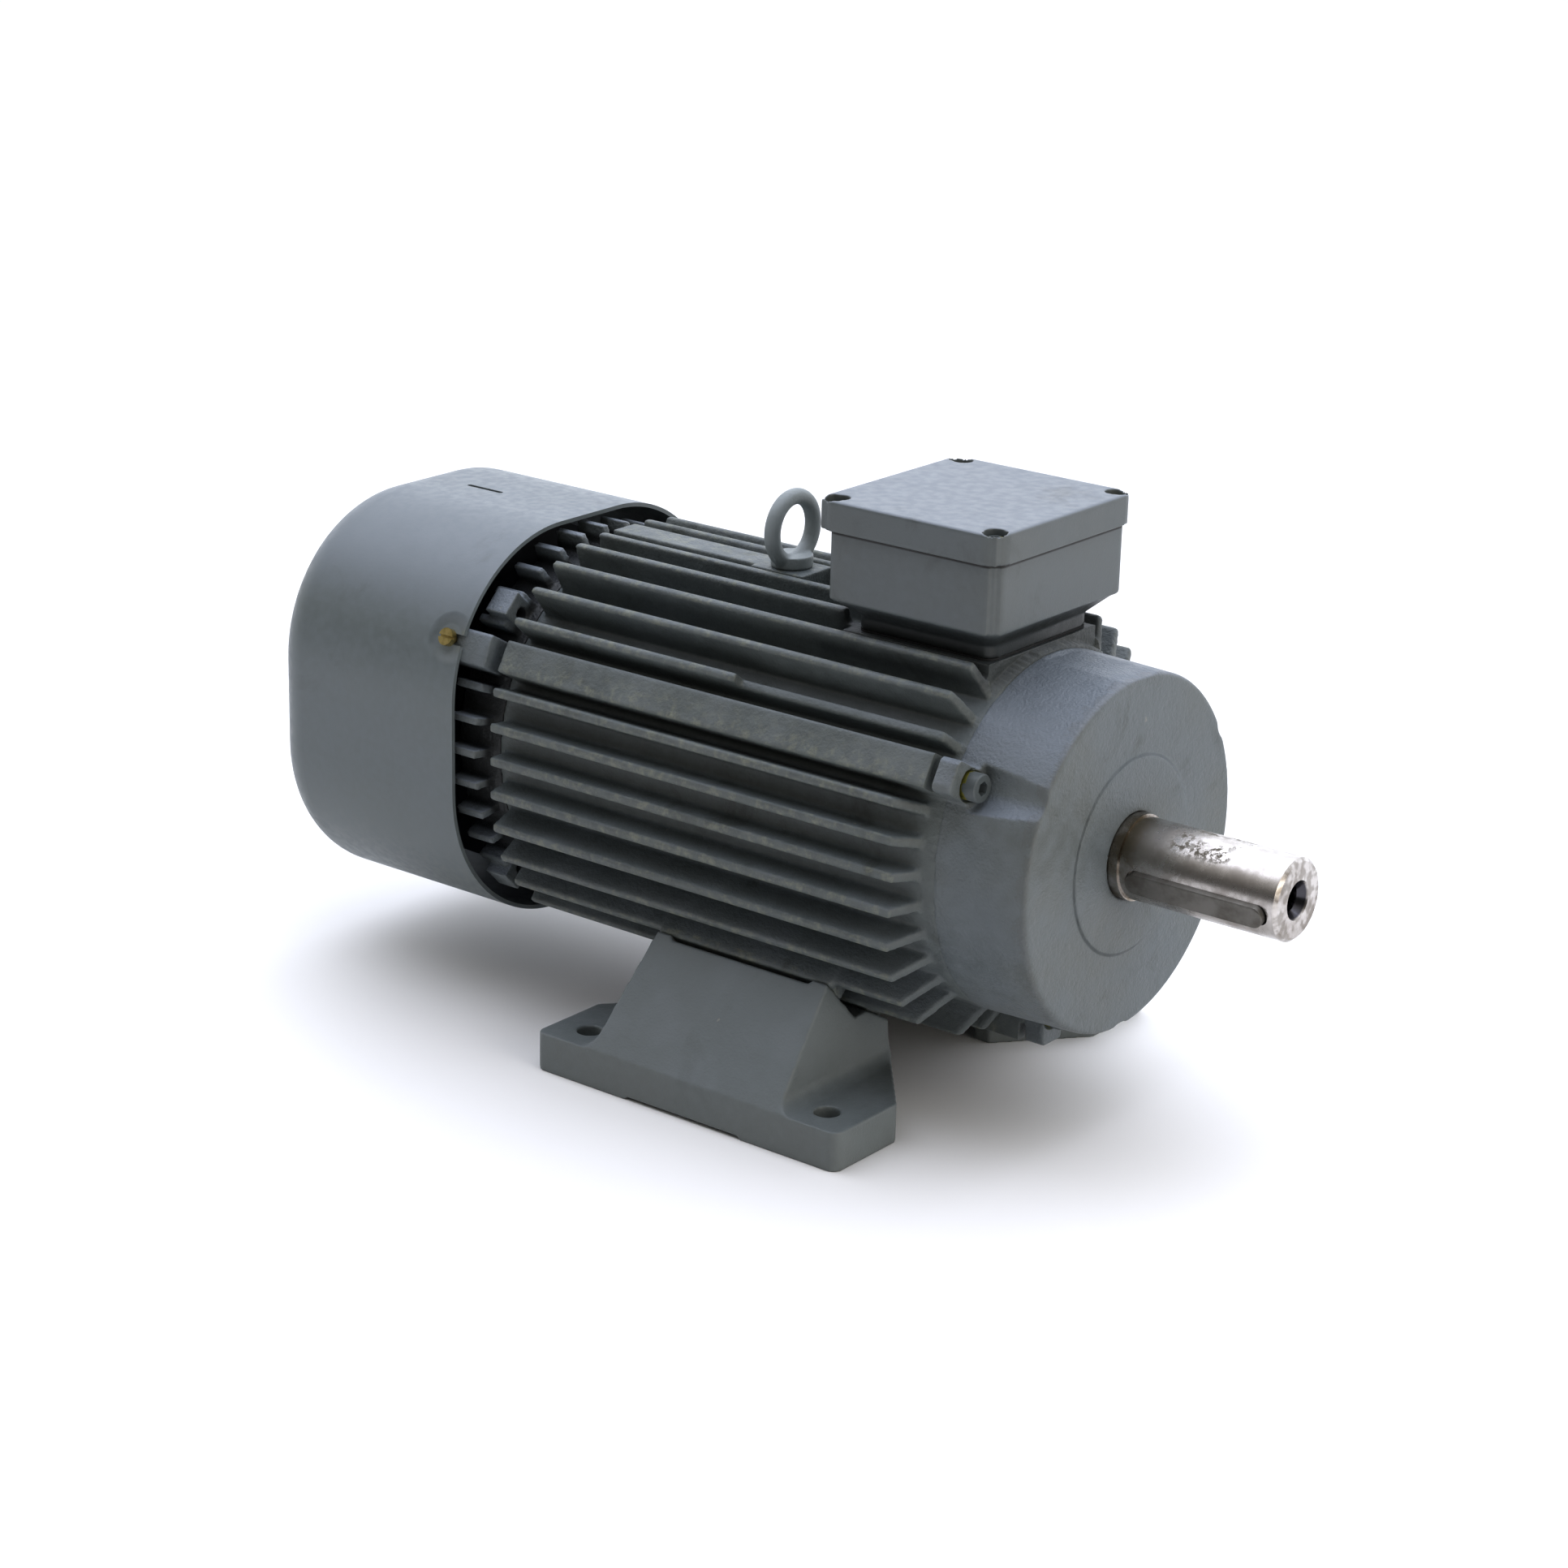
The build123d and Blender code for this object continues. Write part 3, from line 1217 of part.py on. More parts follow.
with BuildPart() as terminal_nuts:
    with BuildSketch(Plane.XY.offset(block_top_z + link_thickness)):
        with Locations(*stud_spots):
            RegularPolygon(nut_across_flats / 2, 6, major_radius=False)
            Circle(terminal_stud_diameter / 2, mode=Mode.SUBTRACT)
    extrude(amount=nut_thickness)
save(terminal_nuts.part, "terminal_nuts")

with BuildPart() as earth_screw:
    with Locations((earth_spot[0], earth_spot[1], box_floor_z)):
        add(hexagon_screw(box_screw_size, earth_screw_length))
save(earth_screw.part, "earth_screw")

# Lifting eye screwed into the boss on the top rib
eye_base_z = shaft_height + top_rib_height
eye_middle_z = eye_base_z + eye_height - eye_ring_outer / 2
eye_section = (eye_ring_outer - eye_ring_inner) / 4

with BuildPart() as lifting_eye:
    with Locations(Location((0, 0, eye_height - eye_ring_outer / 2), (0, 90, 0))):
        Torus((eye_ring_outer + eye_ring_inner) / 4, eye_section)
    Cylinder(eye_collar_diameter / 2, eye_collar_height, align=(Align.CENTER, Align.CENTER, Align.MIN))
    split(bisect_by=Plane.XY)
    chamfer(lifting_eye.edges().filter_by(GeomType.CIRCLE).group_by(Axis.Z)[0], eye_edge_chamfer)
    Cylinder(eye_thread_diameter / 2, eye_thread_length, align=(Align.CENTER, Align.CENTER, Align.MAX))
lifting_eye.part = Location((eyebolt_x, 0, eye_base_z)) * lifting_eye.part
save(lifting_eye.part, "lifting_eye")
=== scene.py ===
import json
import math
from functools import partial
import bmesh
import bpy
import numpy as np
from mathutils import Matrix, Vector, kdtree


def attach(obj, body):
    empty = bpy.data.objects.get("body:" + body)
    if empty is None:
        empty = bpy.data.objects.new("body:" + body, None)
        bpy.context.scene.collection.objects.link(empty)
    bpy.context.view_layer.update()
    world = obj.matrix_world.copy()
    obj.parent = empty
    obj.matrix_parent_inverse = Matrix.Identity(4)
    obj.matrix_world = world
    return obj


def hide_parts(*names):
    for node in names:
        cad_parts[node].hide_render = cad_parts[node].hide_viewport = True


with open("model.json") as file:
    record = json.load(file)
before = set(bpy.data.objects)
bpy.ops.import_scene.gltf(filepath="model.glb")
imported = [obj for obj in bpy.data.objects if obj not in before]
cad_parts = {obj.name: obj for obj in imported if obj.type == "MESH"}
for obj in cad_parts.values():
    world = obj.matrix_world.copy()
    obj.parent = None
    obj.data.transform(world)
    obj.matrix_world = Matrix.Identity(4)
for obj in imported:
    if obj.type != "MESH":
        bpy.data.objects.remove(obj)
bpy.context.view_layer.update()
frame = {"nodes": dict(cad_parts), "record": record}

axisZ = 0.132  # height of the shaft's axis
soft = dict(interpolation_type="SMOOTHSTEP")  # a limit between two looks is never sharp
scene = bpy.context.scene
print("frame loaded:", len(frame["nodes"]), "nodes")


def hexColour(code):
    # sRGB hex to the linear colour that a socket wants
    channels = [int(code[i:i + 2], 16) / 255 for i in (1, 3, 5)]
    linear = [c / 12.92 if c <= 0.04045 else ((c + 0.055) / 1.055) ** 2.4 for c in channels]
    return (*linear, 1.0)


def addNode(tree, kind, inputs=None, **settings):
    # one node with its settings; an input takes a value, a socket, or a node for its first live output
    node = tree.nodes.new(kind)
    for key, value in settings.items():
        setattr(node, key, value)
    for key, value in (inputs or {}).items():
        if isinstance(value, bpy.types.Node):
            value = next(output for output in value.outputs if output.enabled)
        if isinstance(value, bpy.types.NodeSocket):
            tree.links.new(value, node.inputs[key])
        else:
            node.inputs[key].default_value = value
    return node


def perMetre(millimetres):
    # noise scale for a pattern of this size
    return 1000.0 / millimetres


def newMaterial(name):
    material = bpy.data.materials.new(name)
    material.use_nodes = True
    material.node_tree.nodes.clear()
    add = partial(addNode, material.node_tree)
    return material, add, add("ShaderNodeTexCoord").outputs["Object"]


def cells(millimetres, detail=3.0, rough=0.42):
    # what a noise texture of this size takes
    return {"Scale": perMetre(millimetres), "Detail": detail, "Roughness": rough}


def patches(add, place, pattern, low, high):
    # blotches: 1 where the noise is above the high level, 0 below the low one
    level = add("ShaderNodeTexNoise", {"Vector": place, **pattern})
    return add("ShaderNodeMapRange", {0: level, 1: low, 2: high}, **soft)


def region(add, *masks):
    # the product of masks; one given as (value, from, to) runs from 0 to 1 between the two limits
    whole = 1.0
    for mask in masks:
        if isinstance(mask, tuple):
            mask = add("ShaderNodeMapRange", {0: mask[0], 1: mask[1], 2: mask[2]}, **soft)
        whole = add("ShaderNodeMath", {0: mask, 1: whole}, operation="MULTIPLY")
    return whole


def coat(add, colour, code, mask, amount=1.0):
    # a layer of this colour over the one before, as strong as the mask times the amount
    strength = add("ShaderNodeMath", {0: mask, 1: amount}, operation="MULTIPLY")
    return add("ShaderNodeMix", {0: strength, 6: colour, 7: hexColour(code)}, data_type="RGBA")


def relief(add, *layers):
    # bumps one over the other, each with its height in millimetres and its strength
    normal = None
    for height, millimetres, strength in layers:
        inputs = {"Height": height, "Distance": millimetres / 1000, "Strength": strength}
        if normal:
            inputs["Normal"] = normal
        normal = add("ShaderNodeBump", inputs)
    return normal


def upward(add):
    # 1 on faces that look up, 0 on faces that look down
    normal = add("ShaderNodeNewGeometry").outputs["Normal"]
    return region(add, (add("ShaderNodeSeparateXYZ", {0: normal}).outputs[2], -0.2, 1.0))


def distanceFrom(add, y, z):
    # length of the vector (y, z)
    flat = add("ShaderNodeCombineXYZ", {1: y, 2: z})
    return add("ShaderNodeVectorMath", {0: flat}, operation="LENGTH").outputs["Value"]


def axisDistance(add, place):
    spot = add("ShaderNodeSeparateXYZ", {0: place}).outputs
    return distanceFrom(add, spot[1], add("ShaderNodeMath", {0: spot[2], 1: axisZ}, operation="SUBTRACT"))


def finTipMask(add, place):
    # 1 on the rounded square that the fin tips lie on, fading out 1.8 mm below it
    spot = add("ShaderNodeSeparateXYZ", {0: place}).outputs
    rise = add("ShaderNodeMath", {0: spot[2], 1: axisZ}, operation="SUBTRACT")
    past = []
    for value in (spot[1], rise):
        size = add("ShaderNodeMath", {0: value}, operation="ABSOLUTE")
        over = add("ShaderNodeMath", {0: size, 1: finTips["half"] - finTips["corner"]}, operation="SUBTRACT")
        past.append(add("ShaderNodeMath", {0: over, 1: 0.0}, operation="MAXIMUM"))
    low, high = finTips["fade"]
    return region(add, (distanceFrom(add, *past), finTips["corner"] - low, finTips["corner"] - high))


finTips = dict(half=0.0965, corner=0.080, fade=(0.0018, 0.0008))
# some of these spans set painted shade (under the box, on the box's neck, inside the fan cover), the others flaked
# paint and bumps
paintMarks = dict(  # where the housing, the box and the shield show marks of their own, in metres
    underBoxShade=((0.053, 0.047), (0.010, 0.017), (0.2045, 0.2125)),  # under the box: |y|, x and z
    neckFade=0.003, deepFade=0.004,
    rimFlakes=(0.1527, 0.1532), rimEnd=(0.1536, 0.1530), rimRagged=0.007,
    faceStep=(0.0470, 0.0450), screwDent=(0.0065, 0.0135))


def castPaint(name, look):
    # alkyd enamel sprayed over cast iron: matt, the sand grain shows through, and it is thin on the edges
    material, add, place = newMaterial(name)
    x, y, z = add("ShaderNodeSeparateXYZ", {0: place}).outputs
    lookUp = upward(add)
    fine = add("ShaderNodeTexNoise", {"Vector": place, **cells(look["mottleSize"], 4.0)})
    clouds = patches(add, place, cells(look["cloudSize"], 2.0), 0.35, 0.65)
    colour = coat(add, hexColour(look["green"]), look["blue"], clouds)
    colour = coat(add, colour, look["pale"], region(add, (fine, 0.3, 0.8)), look["mottle"])
    # settled dust lightens what looks up, and the colour "top" is painted sky light: a lighter, bluer tone on every
    # upward face
    dust = region(add, lookUp, patches(add, place, cells(26.0, 5.0), 0.42, 0.7))
    colour = coat(add, colour, "#8f949a", dust, look["dust"])
    colour = coat(add, colour, look["top"], region(add, (lookUp, 0.45, 0.95)), 0.55)
    grime = patches(add, place, {**cells(34.0, 6.0, 0.65), "Distortion": 0.6}, 0.56, 0.74)
    colour = coat(add, colour, "#3a3d36", grime, look["grime"])
    if look.get("deep"):
        # painted shade: near black inside the ribs, where the fan cover shades the shield
        hidden = region(add, (axisDistance(add, place), look["deep"] + paintMarks["deepFade"], look["deep"]))
        colour = coat(add, colour, "#0d0e0e", hidden, 0.88)
    # painted shade: the box's neck is darkened below this height, where its overhang shades it
    if look.get("neck"):
        low = region(add, (z, look["neck"] + paintMarks["neckFade"], look["neck"] - paintMarks["neckFade"]))
        colour = coat(add, colour, "#222626", low, 0.8)
    if look.get("seat"):
        # painted shade: the housing is darkened where the terminal box overhangs it
        aside = add("ShaderNodeMath", {0: y}, operation="ABSOLUTE")
        limits = [(value, *span) for value, span in zip((aside, x, z), paintMarks["underBoxShade"])]
        colour = coat(add, colour, "#24282a", region(add, *limits), look["seat"])
    if look.get("rim"):
        # paint flaked off along the edge of the drum's face
        flakes = patches(add, place, cells(6.0, 5.0, 0.7), 0.3, 0.7)
        ragged = add("ShaderNodeMath", {0: flakes, 1: paintMarks["rimRagged"], 2: x}, operation="MULTIPLY_ADD")
        strip = region(add, (ragged, *paintMarks["rimFlakes"]), (x, *paintMarks["rimEnd"]))
        colour = coat(add, colour, "#5d5b57", strip, 0.2)
    if look.get("seam"):
        # dirt gathers in the joint under the lid's edge
        colour = coat(add, colour, "#141310", region(add, (z, *look["seam"])), 0.95)
    worn = add("ShaderNodeAttribute", attribute_name="worn").outputs["Fac"]
    if look.get("finTips"):
        worn = add("ShaderNodeMath", {0: worn, 1: finTipMask(add, place)}, operation="MAXIMUM")
    scuff = region(add, worn, patches(add, place, cells(5.0, 5.0, 0.7), look["wearFrom"], 0.72))
    colour = coat(add, colour, look["primer"], scuff, look["wear"])
    # chips down to the pale primer
    chips = patches(add, place, cells(9.0, 3.0, 0.6), 0.765, 0.785)
    colour = coat(add, colour, "#a7a391", chips, look["chips"])
    roughness = add("ShaderNodeMapRange", {0: fine, 1: 0.3, 2: 0.75, 3: look["rough"] - 0.07,
                                           4: look["rough"] + 0.08}, **soft)
    grain = add("ShaderNodeTexNoise", {"Vector": place, **cells(look["grainSize"], 3.0, 0.6)})
    pits = add("ShaderNodeTexVoronoi", {"Vector": place, "Scale": perMetre(look["grainSize"] * 2.6)},
               feature="SMOOTH_F1")
    waves = add("ShaderNodeTexNoise", {"Vector": place, **cells(18.0, 2.0)})
    layers = [(grain, look["grainHeight"], 1.0), (pits, look["grainHeight"] * 0.6, 0.7),
              (waves, look["waveHeight"], 1.0)]
    if look.get("rim"):
        # the low step round the middle of the face
        layers.append((region(add, (axisDistance(add, place), *paintMarks["faceStep"])), 2.0, 0.8))
    for centre in look.get("dents", ()):
        # the sheet is pressed in round each cover screw
        away = add("ShaderNodeVectorMath", {0: place, 1: centre}, operation="DISTANCE").outputs["Value"]
        layers.append((region(add, (away, *paintMarks["screwDent"])), 2.2, 1.0))
    shader = add("ShaderNodeBsdfPrincipled", {"Base Color": colour, "Roughness": roughness, "IOR": 1.5,
                                              "Normal": relief(add, *layers)})
    add("ShaderNodeOutputMaterial", {0: shader})
    return material


# in each look, "top" is the colour of the painted sky light on upward faces
paintLooks = {
    "housing": dict(top="#5f676c", cloudSize=120.0, mottleSize=7.0, green="#5b605e", blue="#5c6263", pale="#767d7b",
                    mottle=0.35, dust=0.3, grime=0.55, wear=0.55, wearFrom=0.44, primer="#8b8d7c",
                    chips=0.5, rough=0.5, grainSize=1.7, grainHeight=0.42, waveHeight=0.25, finTips=True),
    "shield": dict(top="#818a98", cloudSize=70.0, mottleSize=9.0, green="#636867", blue="#646b6e", pale="#7b8286",
                   mottle=0.35, dust=0.3, grime=0.35, wear=0.6, wearFrom=0.42, primer="#7f8178",
                   chips=0.3, rough=0.47, grainSize=1.5, grainHeight=0.55, waveHeight=0.3),
    "foot": dict(top="#656c70", cloudSize=80.0, mottleSize=6.0, green="#6c7170", blue="#6c7272", pale="#808787",
                 mottle=0.25, dust=0.25, grime=0.12, wear=0.6, wearFrom=0.45, primer="#7f8078",
                 chips=0.35, rough=0.5, grainSize=1.3, grainHeight=0.2, waveHeight=0.2),
    "box": dict(top="#88909c", cloudSize=90.0, mottleSize=5.0, green="#5f6464", blue="#606668", pale="#787f83",
                mottle=0.2, dust=0.12, grime=0.3, wear=0.75, wearFrom=0.42, primer="#92928a",
                chips=0.6, rough=0.42, grainSize=1.0, grainHeight=0.08, waveHeight=0.15),
    "cover": dict(top="#7b838d", cloudSize=110.0, mottleSize=4.0, green="#697070", blue="#6b7274", pale="#7e868b",
                  mottle=0.18, dust=0.12, grime=0.2, wear=0.7, wearFrom=0.45, primer="#9b9a8c",
                  chips=0.35, rough=0.4, grainSize=0.8, grainHeight=0.04, waveHeight=0.12),
}
castHousing = castPaint("blue-grey enamel on cast iron", dict(paintLooks["housing"], seat=0.6))
castShield = castPaint("blue-grey enamel on coarse cast iron", dict(paintLooks["shield"], rim=True))
castRear = castPaint("blue-grey enamel with painted shade under the fan cover", dict(paintLooks["shield"], deep=0.0875))
castFoot = castPaint("blue-grey enamel on foot casting", paintLooks["foot"])
castEye = castPaint("blue-grey enamel on forged steel", dict(paintLooks["foot"], top="#959ca0", green="#868c8b",
                                                             blue="#868d8f", pale="#9aa1a3", wear=0.8))
castBox = castPaint("blue-grey enamel on die-cast box", dict(paintLooks["box"], seam=(0.2648, 0.2656), neck=0.2335))
castLid = castPaint("blue-grey enamel on die-cast lid", dict(paintLooks["box"], waveHeight=0.05, mottle=0.1, wear=0.9,
                                                             wearFrom=0.38, chips=0.8))
coverScrews = [(-0.174, -0.0913, 0.1859), (-0.174, 0.0913, 0.1859), (-0.174, 0.0, 0.0334)]
sheetCover = castPaint("blue-grey enamel on pressed sheet", dict(paintLooks["cover"], dents=coverScrews))


shaftMarks = dict(  # stations along the shaft and heights on it, in metres
    patch=((0.176, 0.184), (0.222, 0.212)), patchTop=(0.142, 0.147),
    root=(0.172, 0.160), tip=(0.2365, 0.2385), hole=(0.0092, 0.0088), holeEnd=(0.2388, 0.2378))


def groundSteel(name, base, stain, roughness, stained):
    # plain carbon steel, turned and ground: fine rings round the shaft, brown oxide where it was touched
    material, add, place = newMaterial(name)
    stretched = add("ShaderNodeMapping", {"Vector": place, "Scale": (1.0, 0.04, 0.04)})
    rings = add("ShaderNodeTexNoise", {"Vector": stretched, **cells(0.55, 2.0)})
    cloud = add("ShaderNodeTexNoise", {"Vector": place, **cells(22.0, 5.0, 0.6)})
    skin = add("ShaderNodeTexNoise", {"Vector": place, **cells(1.2)})
    colour = coat(add, hexColour(base), stain, region(add, (cloud, 0.4, 0.65)))
    rough = add("ShaderNodeMapRange", {0: cloud, 1: 0.3, 2: 0.7, 3: roughness - 0.06, 4: roughness + 0.12}, **soft)
    if stained:
        x, y, z = add("ShaderNodeSeparateXYZ", {0: place}).outputs
        # a speckled patch of oxide on the top of the shaft end
        start, end = shaftMarks["patch"]
        speckle = patches(add, place, cells(3.2, 6.0, 0.75), 0.47, 0.55)
        spread = patches(add, place, cells(15.0, 2.0), 0.42, 0.56)
        oxide = region(add, (x, *start), (x, *end), (z, *shaftMarks["patchTop"]), speckle, spread)
        colour = coat(add, colour, "#5d574a", oxide, 0.85)
        # brown bands at both its ends
        colour = coat(add, colour, "#6b5f47", region(add, (x, *shaftMarks["root"]), (cloud, 0.3, 0.6)), 0.8)
        tipStain = patches(add, place, cells(4.0), 0.4, 0.6)
        colour = coat(add, colour, "#5b5140", region(add, (x, *shaftMarks["tip"]), tipStain), 0.5)
        # painted shade: the threaded hole in the end face is darkened inside
        inside = region(add, (axisDistance(add, place), *shaftMarks["hole"]), (x, *shaftMarks["holeEnd"]))
        colour = coat(add, colour, "#30313b", inside, 0.9)
        rough = add("ShaderNodeMath", {0: oxide, 1: 0.35, 2: rough}, operation="MULTIPLY_ADD")
    shader = add("ShaderNodeBsdfPrincipled", {"Base Color": colour, "Metallic": 1.0, "Roughness": rough,
                                              "Normal": relief(add, (rings, 0.02, 0.6), (skin, 0.01, 0.5))})
    add("ShaderNodeOutputMaterial", {0: shader})
    return material


shaftSteel = groundSteel("ground shaft steel", "#d2cecb", "#aca6a1", 0.22, True)
keySteel = groundSteel("drawn key steel", "#807e7a", "#67645e", 0.46, False)
springSteel = groundSteel("oiled spring steel", "#5f5d5a", "#4a443c", 0.38, False)
bearingSteel = groundSteel("polished bearing steel", "#c9c9c6", "#b5b3ab", 0.16, False)


def plated(name, base, tint, roughness, overspray=0.0, bareTo=None):
    # zinc, brass or bare metal: clouded and shiny, with dull grey paint where the sprayer caught it
    material, add, place = newMaterial(name)
    cloud = add("ShaderNodeTexNoise", {"Vector": place, **cells(3.5, 4.0)})
    colour = coat(add, hexColour(base), tint, region(add, (cloud, 0.35, 0.65)))
    metallic = 1.0
    if bareTo or overspray:
        if bareTo:
            # the spray missed the foot of the head, which ends raggedly at this x
            edge = patches(add, place, cells(5.0), 0.35, 0.65)
            along = add("ShaderNodeSeparateXYZ", {0: place}).outputs[0]
            ragged = add("ShaderNodeMath", {0: edge, 1: 0.0016, 2: along}, operation="MULTIPLY_ADD")
            painted = region(add, (ragged, bareTo + 0.0006, bareTo + 0.0010))
        else:
            level = 0.45 + overspray * 0.6
            painted = patches(add, place, cells(6.0), level + 0.05, level)
        colour = coat(add, colour, "#5a6061", painted)
        metallic = add("ShaderNodeMath", {0: 1.0, 1: painted}, operation="SUBTRACT")
    rough = add("ShaderNodeMapRange", {0: cloud, 1: 0.3, 2: 0.7, 3: roughness - 0.05, 4: roughness + 0.12}, **soft)
    skin = add("ShaderNodeTexNoise", {"Vector": place, **cells(0.8)})
    shader = add("ShaderNodeBsdfPrincipled", {"Base Color": colour, "Metallic": metallic, "Roughness": rough,
                                              "Normal": relief(add, (skin, 0.03, 0.8))})
    add("ShaderNodeOutputMaterial", {0: shader})
    return material


brass = plated("turned brass", "#c4b37c", "#9d8c58", 0.32)
yellowZinc = plated("yellow zinc under overspray", "#b9ad52", "#8f8a45", 0.4, overspray=0.12)
paintedZinc = plated("painted-over zinc screw", "#b3ae5c", "#8f8a45", 0.45, bareTo=0.1176)
copper = plated("enamelled copper wire", "#b06a3d", "#8a4a28", 0.4)
castAluminium = plated("cast aluminium", "#b4b6b8", "#9c9ea0", 0.45)


def dull(name, base, tint, roughness, millimetres, height):
    # rubber, moulded plastic or bare laminations: one soft colour with a fine skin
    material, add, place = newMaterial(name)
    cloud = add("ShaderNodeTexNoise", {"Vector": place, **cells(millimetres, 4.0)})
    skin = add("ShaderNodeTexNoise", {"Vector": place, **cells(millimetres / 4)})
    colour = coat(add, hexColour(base), tint, region(add, (cloud, 0.35, 0.7)))
    rough = add("ShaderNodeMapRange", {0: cloud, 1: 0.3, 2: 0.7, 3: roughness - 0.08, 4: roughness + 0.08}, **soft)
    shader = add("ShaderNodeBsdfPrincipled", {"Base Color": colour, "Roughness": rough,
                                              "Normal": relief(add, (skin, height, 1.0))})
    add("ShaderNodeOutputMaterial", {0: shader})
    return material


sealRubber = dull("nitrile rubber", "#17181a", "#26272a", 0.6, 4.0, 0.03)
mouldedPlug = dull("moulded black polyamide", "#1d1f21", "#2b2d30", 0.45, 3.0, 0.02)
fanPlastic = dull("moulded polypropylene", "#22252a", "#31343a", 0.5, 9.0, 0.04)
blockResin = dull("moulded brown resin", "#4a3524", "#5a4330", 0.45, 6.0, 0.03)
coreSteel = dull("stacked electrical sheet", "#4c4a48", "#5d5a55", 0.5, 2.0, 0.05)
gasketRubber = dull("gasket rubber", "#1b1c1d", "#292a2b", 0.7, 3.0, 0.03)

nodeFinish = {
    "stator_housing": castHousing, "drive_end_shield": castShield, "fan_end_shield": castRear,
    "foot_near": castFoot, "foot_far": castFoot, "fan_cover": sheetCover,
    "terminal_box": castBox, "terminal_lid": castLid, "lifting_eye": castEye,
    "rotor_shaft": shaftSteel, "shaft_key": keySteel,
    "bearing_clip": springSteel, "wave_spring": springSteel, "fan_clip": springSteel,
    "drive_bearing_outer_ring": bearingSteel, "fan_bearing_outer_ring": bearingSteel,
    "drive_bearing_inner_ring": bearingSteel, "fan_bearing_inner_ring": bearingSteel,
    "drive_bearing_balls": bearingSteel, "fan_bearing_balls": bearingSteel,
    "drive_bearing_cage": springSteel, "fan_bearing_cage": springSteel,
    "drive_end_screws": paintedZinc, "fan_end_screws": yellowZinc,
    "foot_screws": castFoot, "lid_screws": yellowZinc, "box_screws": yellowZinc,
    "fan_cover_screws": brass, "terminal_studs": brass, "terminal_nuts": brass, "terminal_links": brass,
    "earth_screw": brass, "rotor_cage": castAluminium, "rotor_core": coreSteel, "stator_core": coreSteel,
    "stator_winding": copper, "drive_end_seal": sealRubber, "fan_end_seal": sealRubber,
    "box_gasket": gasketRubber, "lid_gasket": gasketRubber, "terminal_block": blockResin,
    "entry_plugs": mouldedPlug, "fan": fanPlastic,
}
for nodeName, material in nodeFinish.items():
    target = frame["nodes"][nodeName]
    target.data.materials.clear()
    target.data.materials.append(material)
bodyOf = {node: body for body, nodes in frame["record"]["behaviour"]["bodies"].items() for node in nodes}
print("materials:", len(set(nodeFinish.values())))


def finishPiece(piece, *nodes):
    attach(piece, bodyOf[nodes[0]])
    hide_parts(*nodes)


def plainMesh(piece):
    # what the modifiers make of a piece, as a plain mesh without them
    depsgraph = bpy.context.evaluated_depsgraph_get()
    mesh = bpy.data.meshes.new_from_object(piece.evaluated_get(depsgraph), depsgraph=depsgraph)
    piece.modifiers.clear()
    piece.data = mesh
    return piece


mergeDistance = 2e-6


def mergedCopy(node, name):
    # a CAD node's mesh with its loose triangles joined up
    bm = bmesh.new()
    bm.from_mesh(frame["nodes"][node].data)
    bmesh.ops.remove_doubles(bm, verts=bm.verts[:], dist=mergeDistance)
    mesh = bpy.data.meshes.new(name)
    bm.to_mesh(mesh)
    bm.free()
    mesh.materials.clear()
    piece = bpy.data.objects.new(name, mesh)
    scene.collection.objects.link(piece)
    return piece


def meshArrays(mesh):
    points = np.empty(len(mesh.vertices) * 3, np.float32)
    mesh.vertices.foreach_get("co", points)
    normals = np.empty(len(mesh.vertices) * 3, np.float32)
    mesh.vertex_normals.foreach_get("vector", normals)
    edges = np.empty(len(mesh.edges) * 2, np.int32)
    mesh.edges.foreach_get("vertices", edges)
    return points.reshape(-1, 3), normals.reshape(-1, 3), edges.reshape(-1, 2)


def convexity(mesh):
    # how far each point stands out from its neighbours, as a share of the spacing: edges and corners are high
    points, normals, edges = meshArrays(mesh)
    first, second = edges[:, 0], edges[:, 1]
    step = points[second] - points[first]
    length = np.linalg.norm(step, axis=1) + 1e-9
    count = np.bincount(edges.ravel(), minlength=len(points)) + 1e-9
    out = np.bincount(first, -(normals[first] * step).sum(1) / length, len(points))
    out += np.bincount(second, (normals[second] * step).sum(1) / length, len(points))
    out /= count
    spread = np.bincount(first, out[second], len(points)) + np.bincount(second, out[first], len(points))
    return points, 0.5 * out + 0.5 * spread / count


wornEdge = (0.12, 0.3)  # convexity at which the paint begins to be thin, and where it is worn


def softCasting(node, name, look):
    # a casting's skin: every edge and inner corner is rounded by a fine remesh and a few smoothing passes,
    # and the attribute "worn" is 1 where an edge stands out
    piece = mergedCopy(node, name)
    remesh = piece.modifiers.new("skin", "REMESH")
    remesh.mode = "VOXEL"
    remesh.voxel_size = look["voxel"]
    smooth = piece.modifiers.new("soften", "SMOOTH")
    smooth.factor = 0.5
    smooth.iterations = look["passes"]
    plainMesh(piece)
    if "carve" in look:
        look["carve"](piece)
    points, out = convexity(piece.data)
    tree = kdtree.KDTree(len(points))
    for index, point in enumerate(points):
        tree.insert(point, index)
    tree.balance()
    share = look["triangles"] / (2 * len(piece.data.polygons))  # the skin is all quads
    if share < 1:
        thin = piece.modifiers.new("thin", "DECIMATE")
        thin.ratio = share
        plainMesh(piece)
    low, high = wornEdge
    nearest = [tree.find(vertex.co)[1] for vertex in piece.data.vertices]
    worn = np.clip((out[nearest] - low) / (high - low), 0, 1).astype(np.float32)
    piece.data.attributes.new("worn", "FLOAT", "POINT").data.foreach_set("value", worn)
    for polygon in piece.data.polygons:
        polygon.use_smooth = True
    piece.data.materials.append(nodeFinish[node])
    finishPiece(piece, node)
    print(name, len(piece.data.polygons), "faces, worn share", round(float(worn.mean()), 3))


def radiusOf(points):
    return np.hypot(points[:, 1], points[:, 2] - axisZ)


def movePoints(piece, change):
    points = meshArrays(piece.data)[0]
    change(points)
    piece.data.vertices.foreach_set("co", points.ravel())
    piece.data.update()


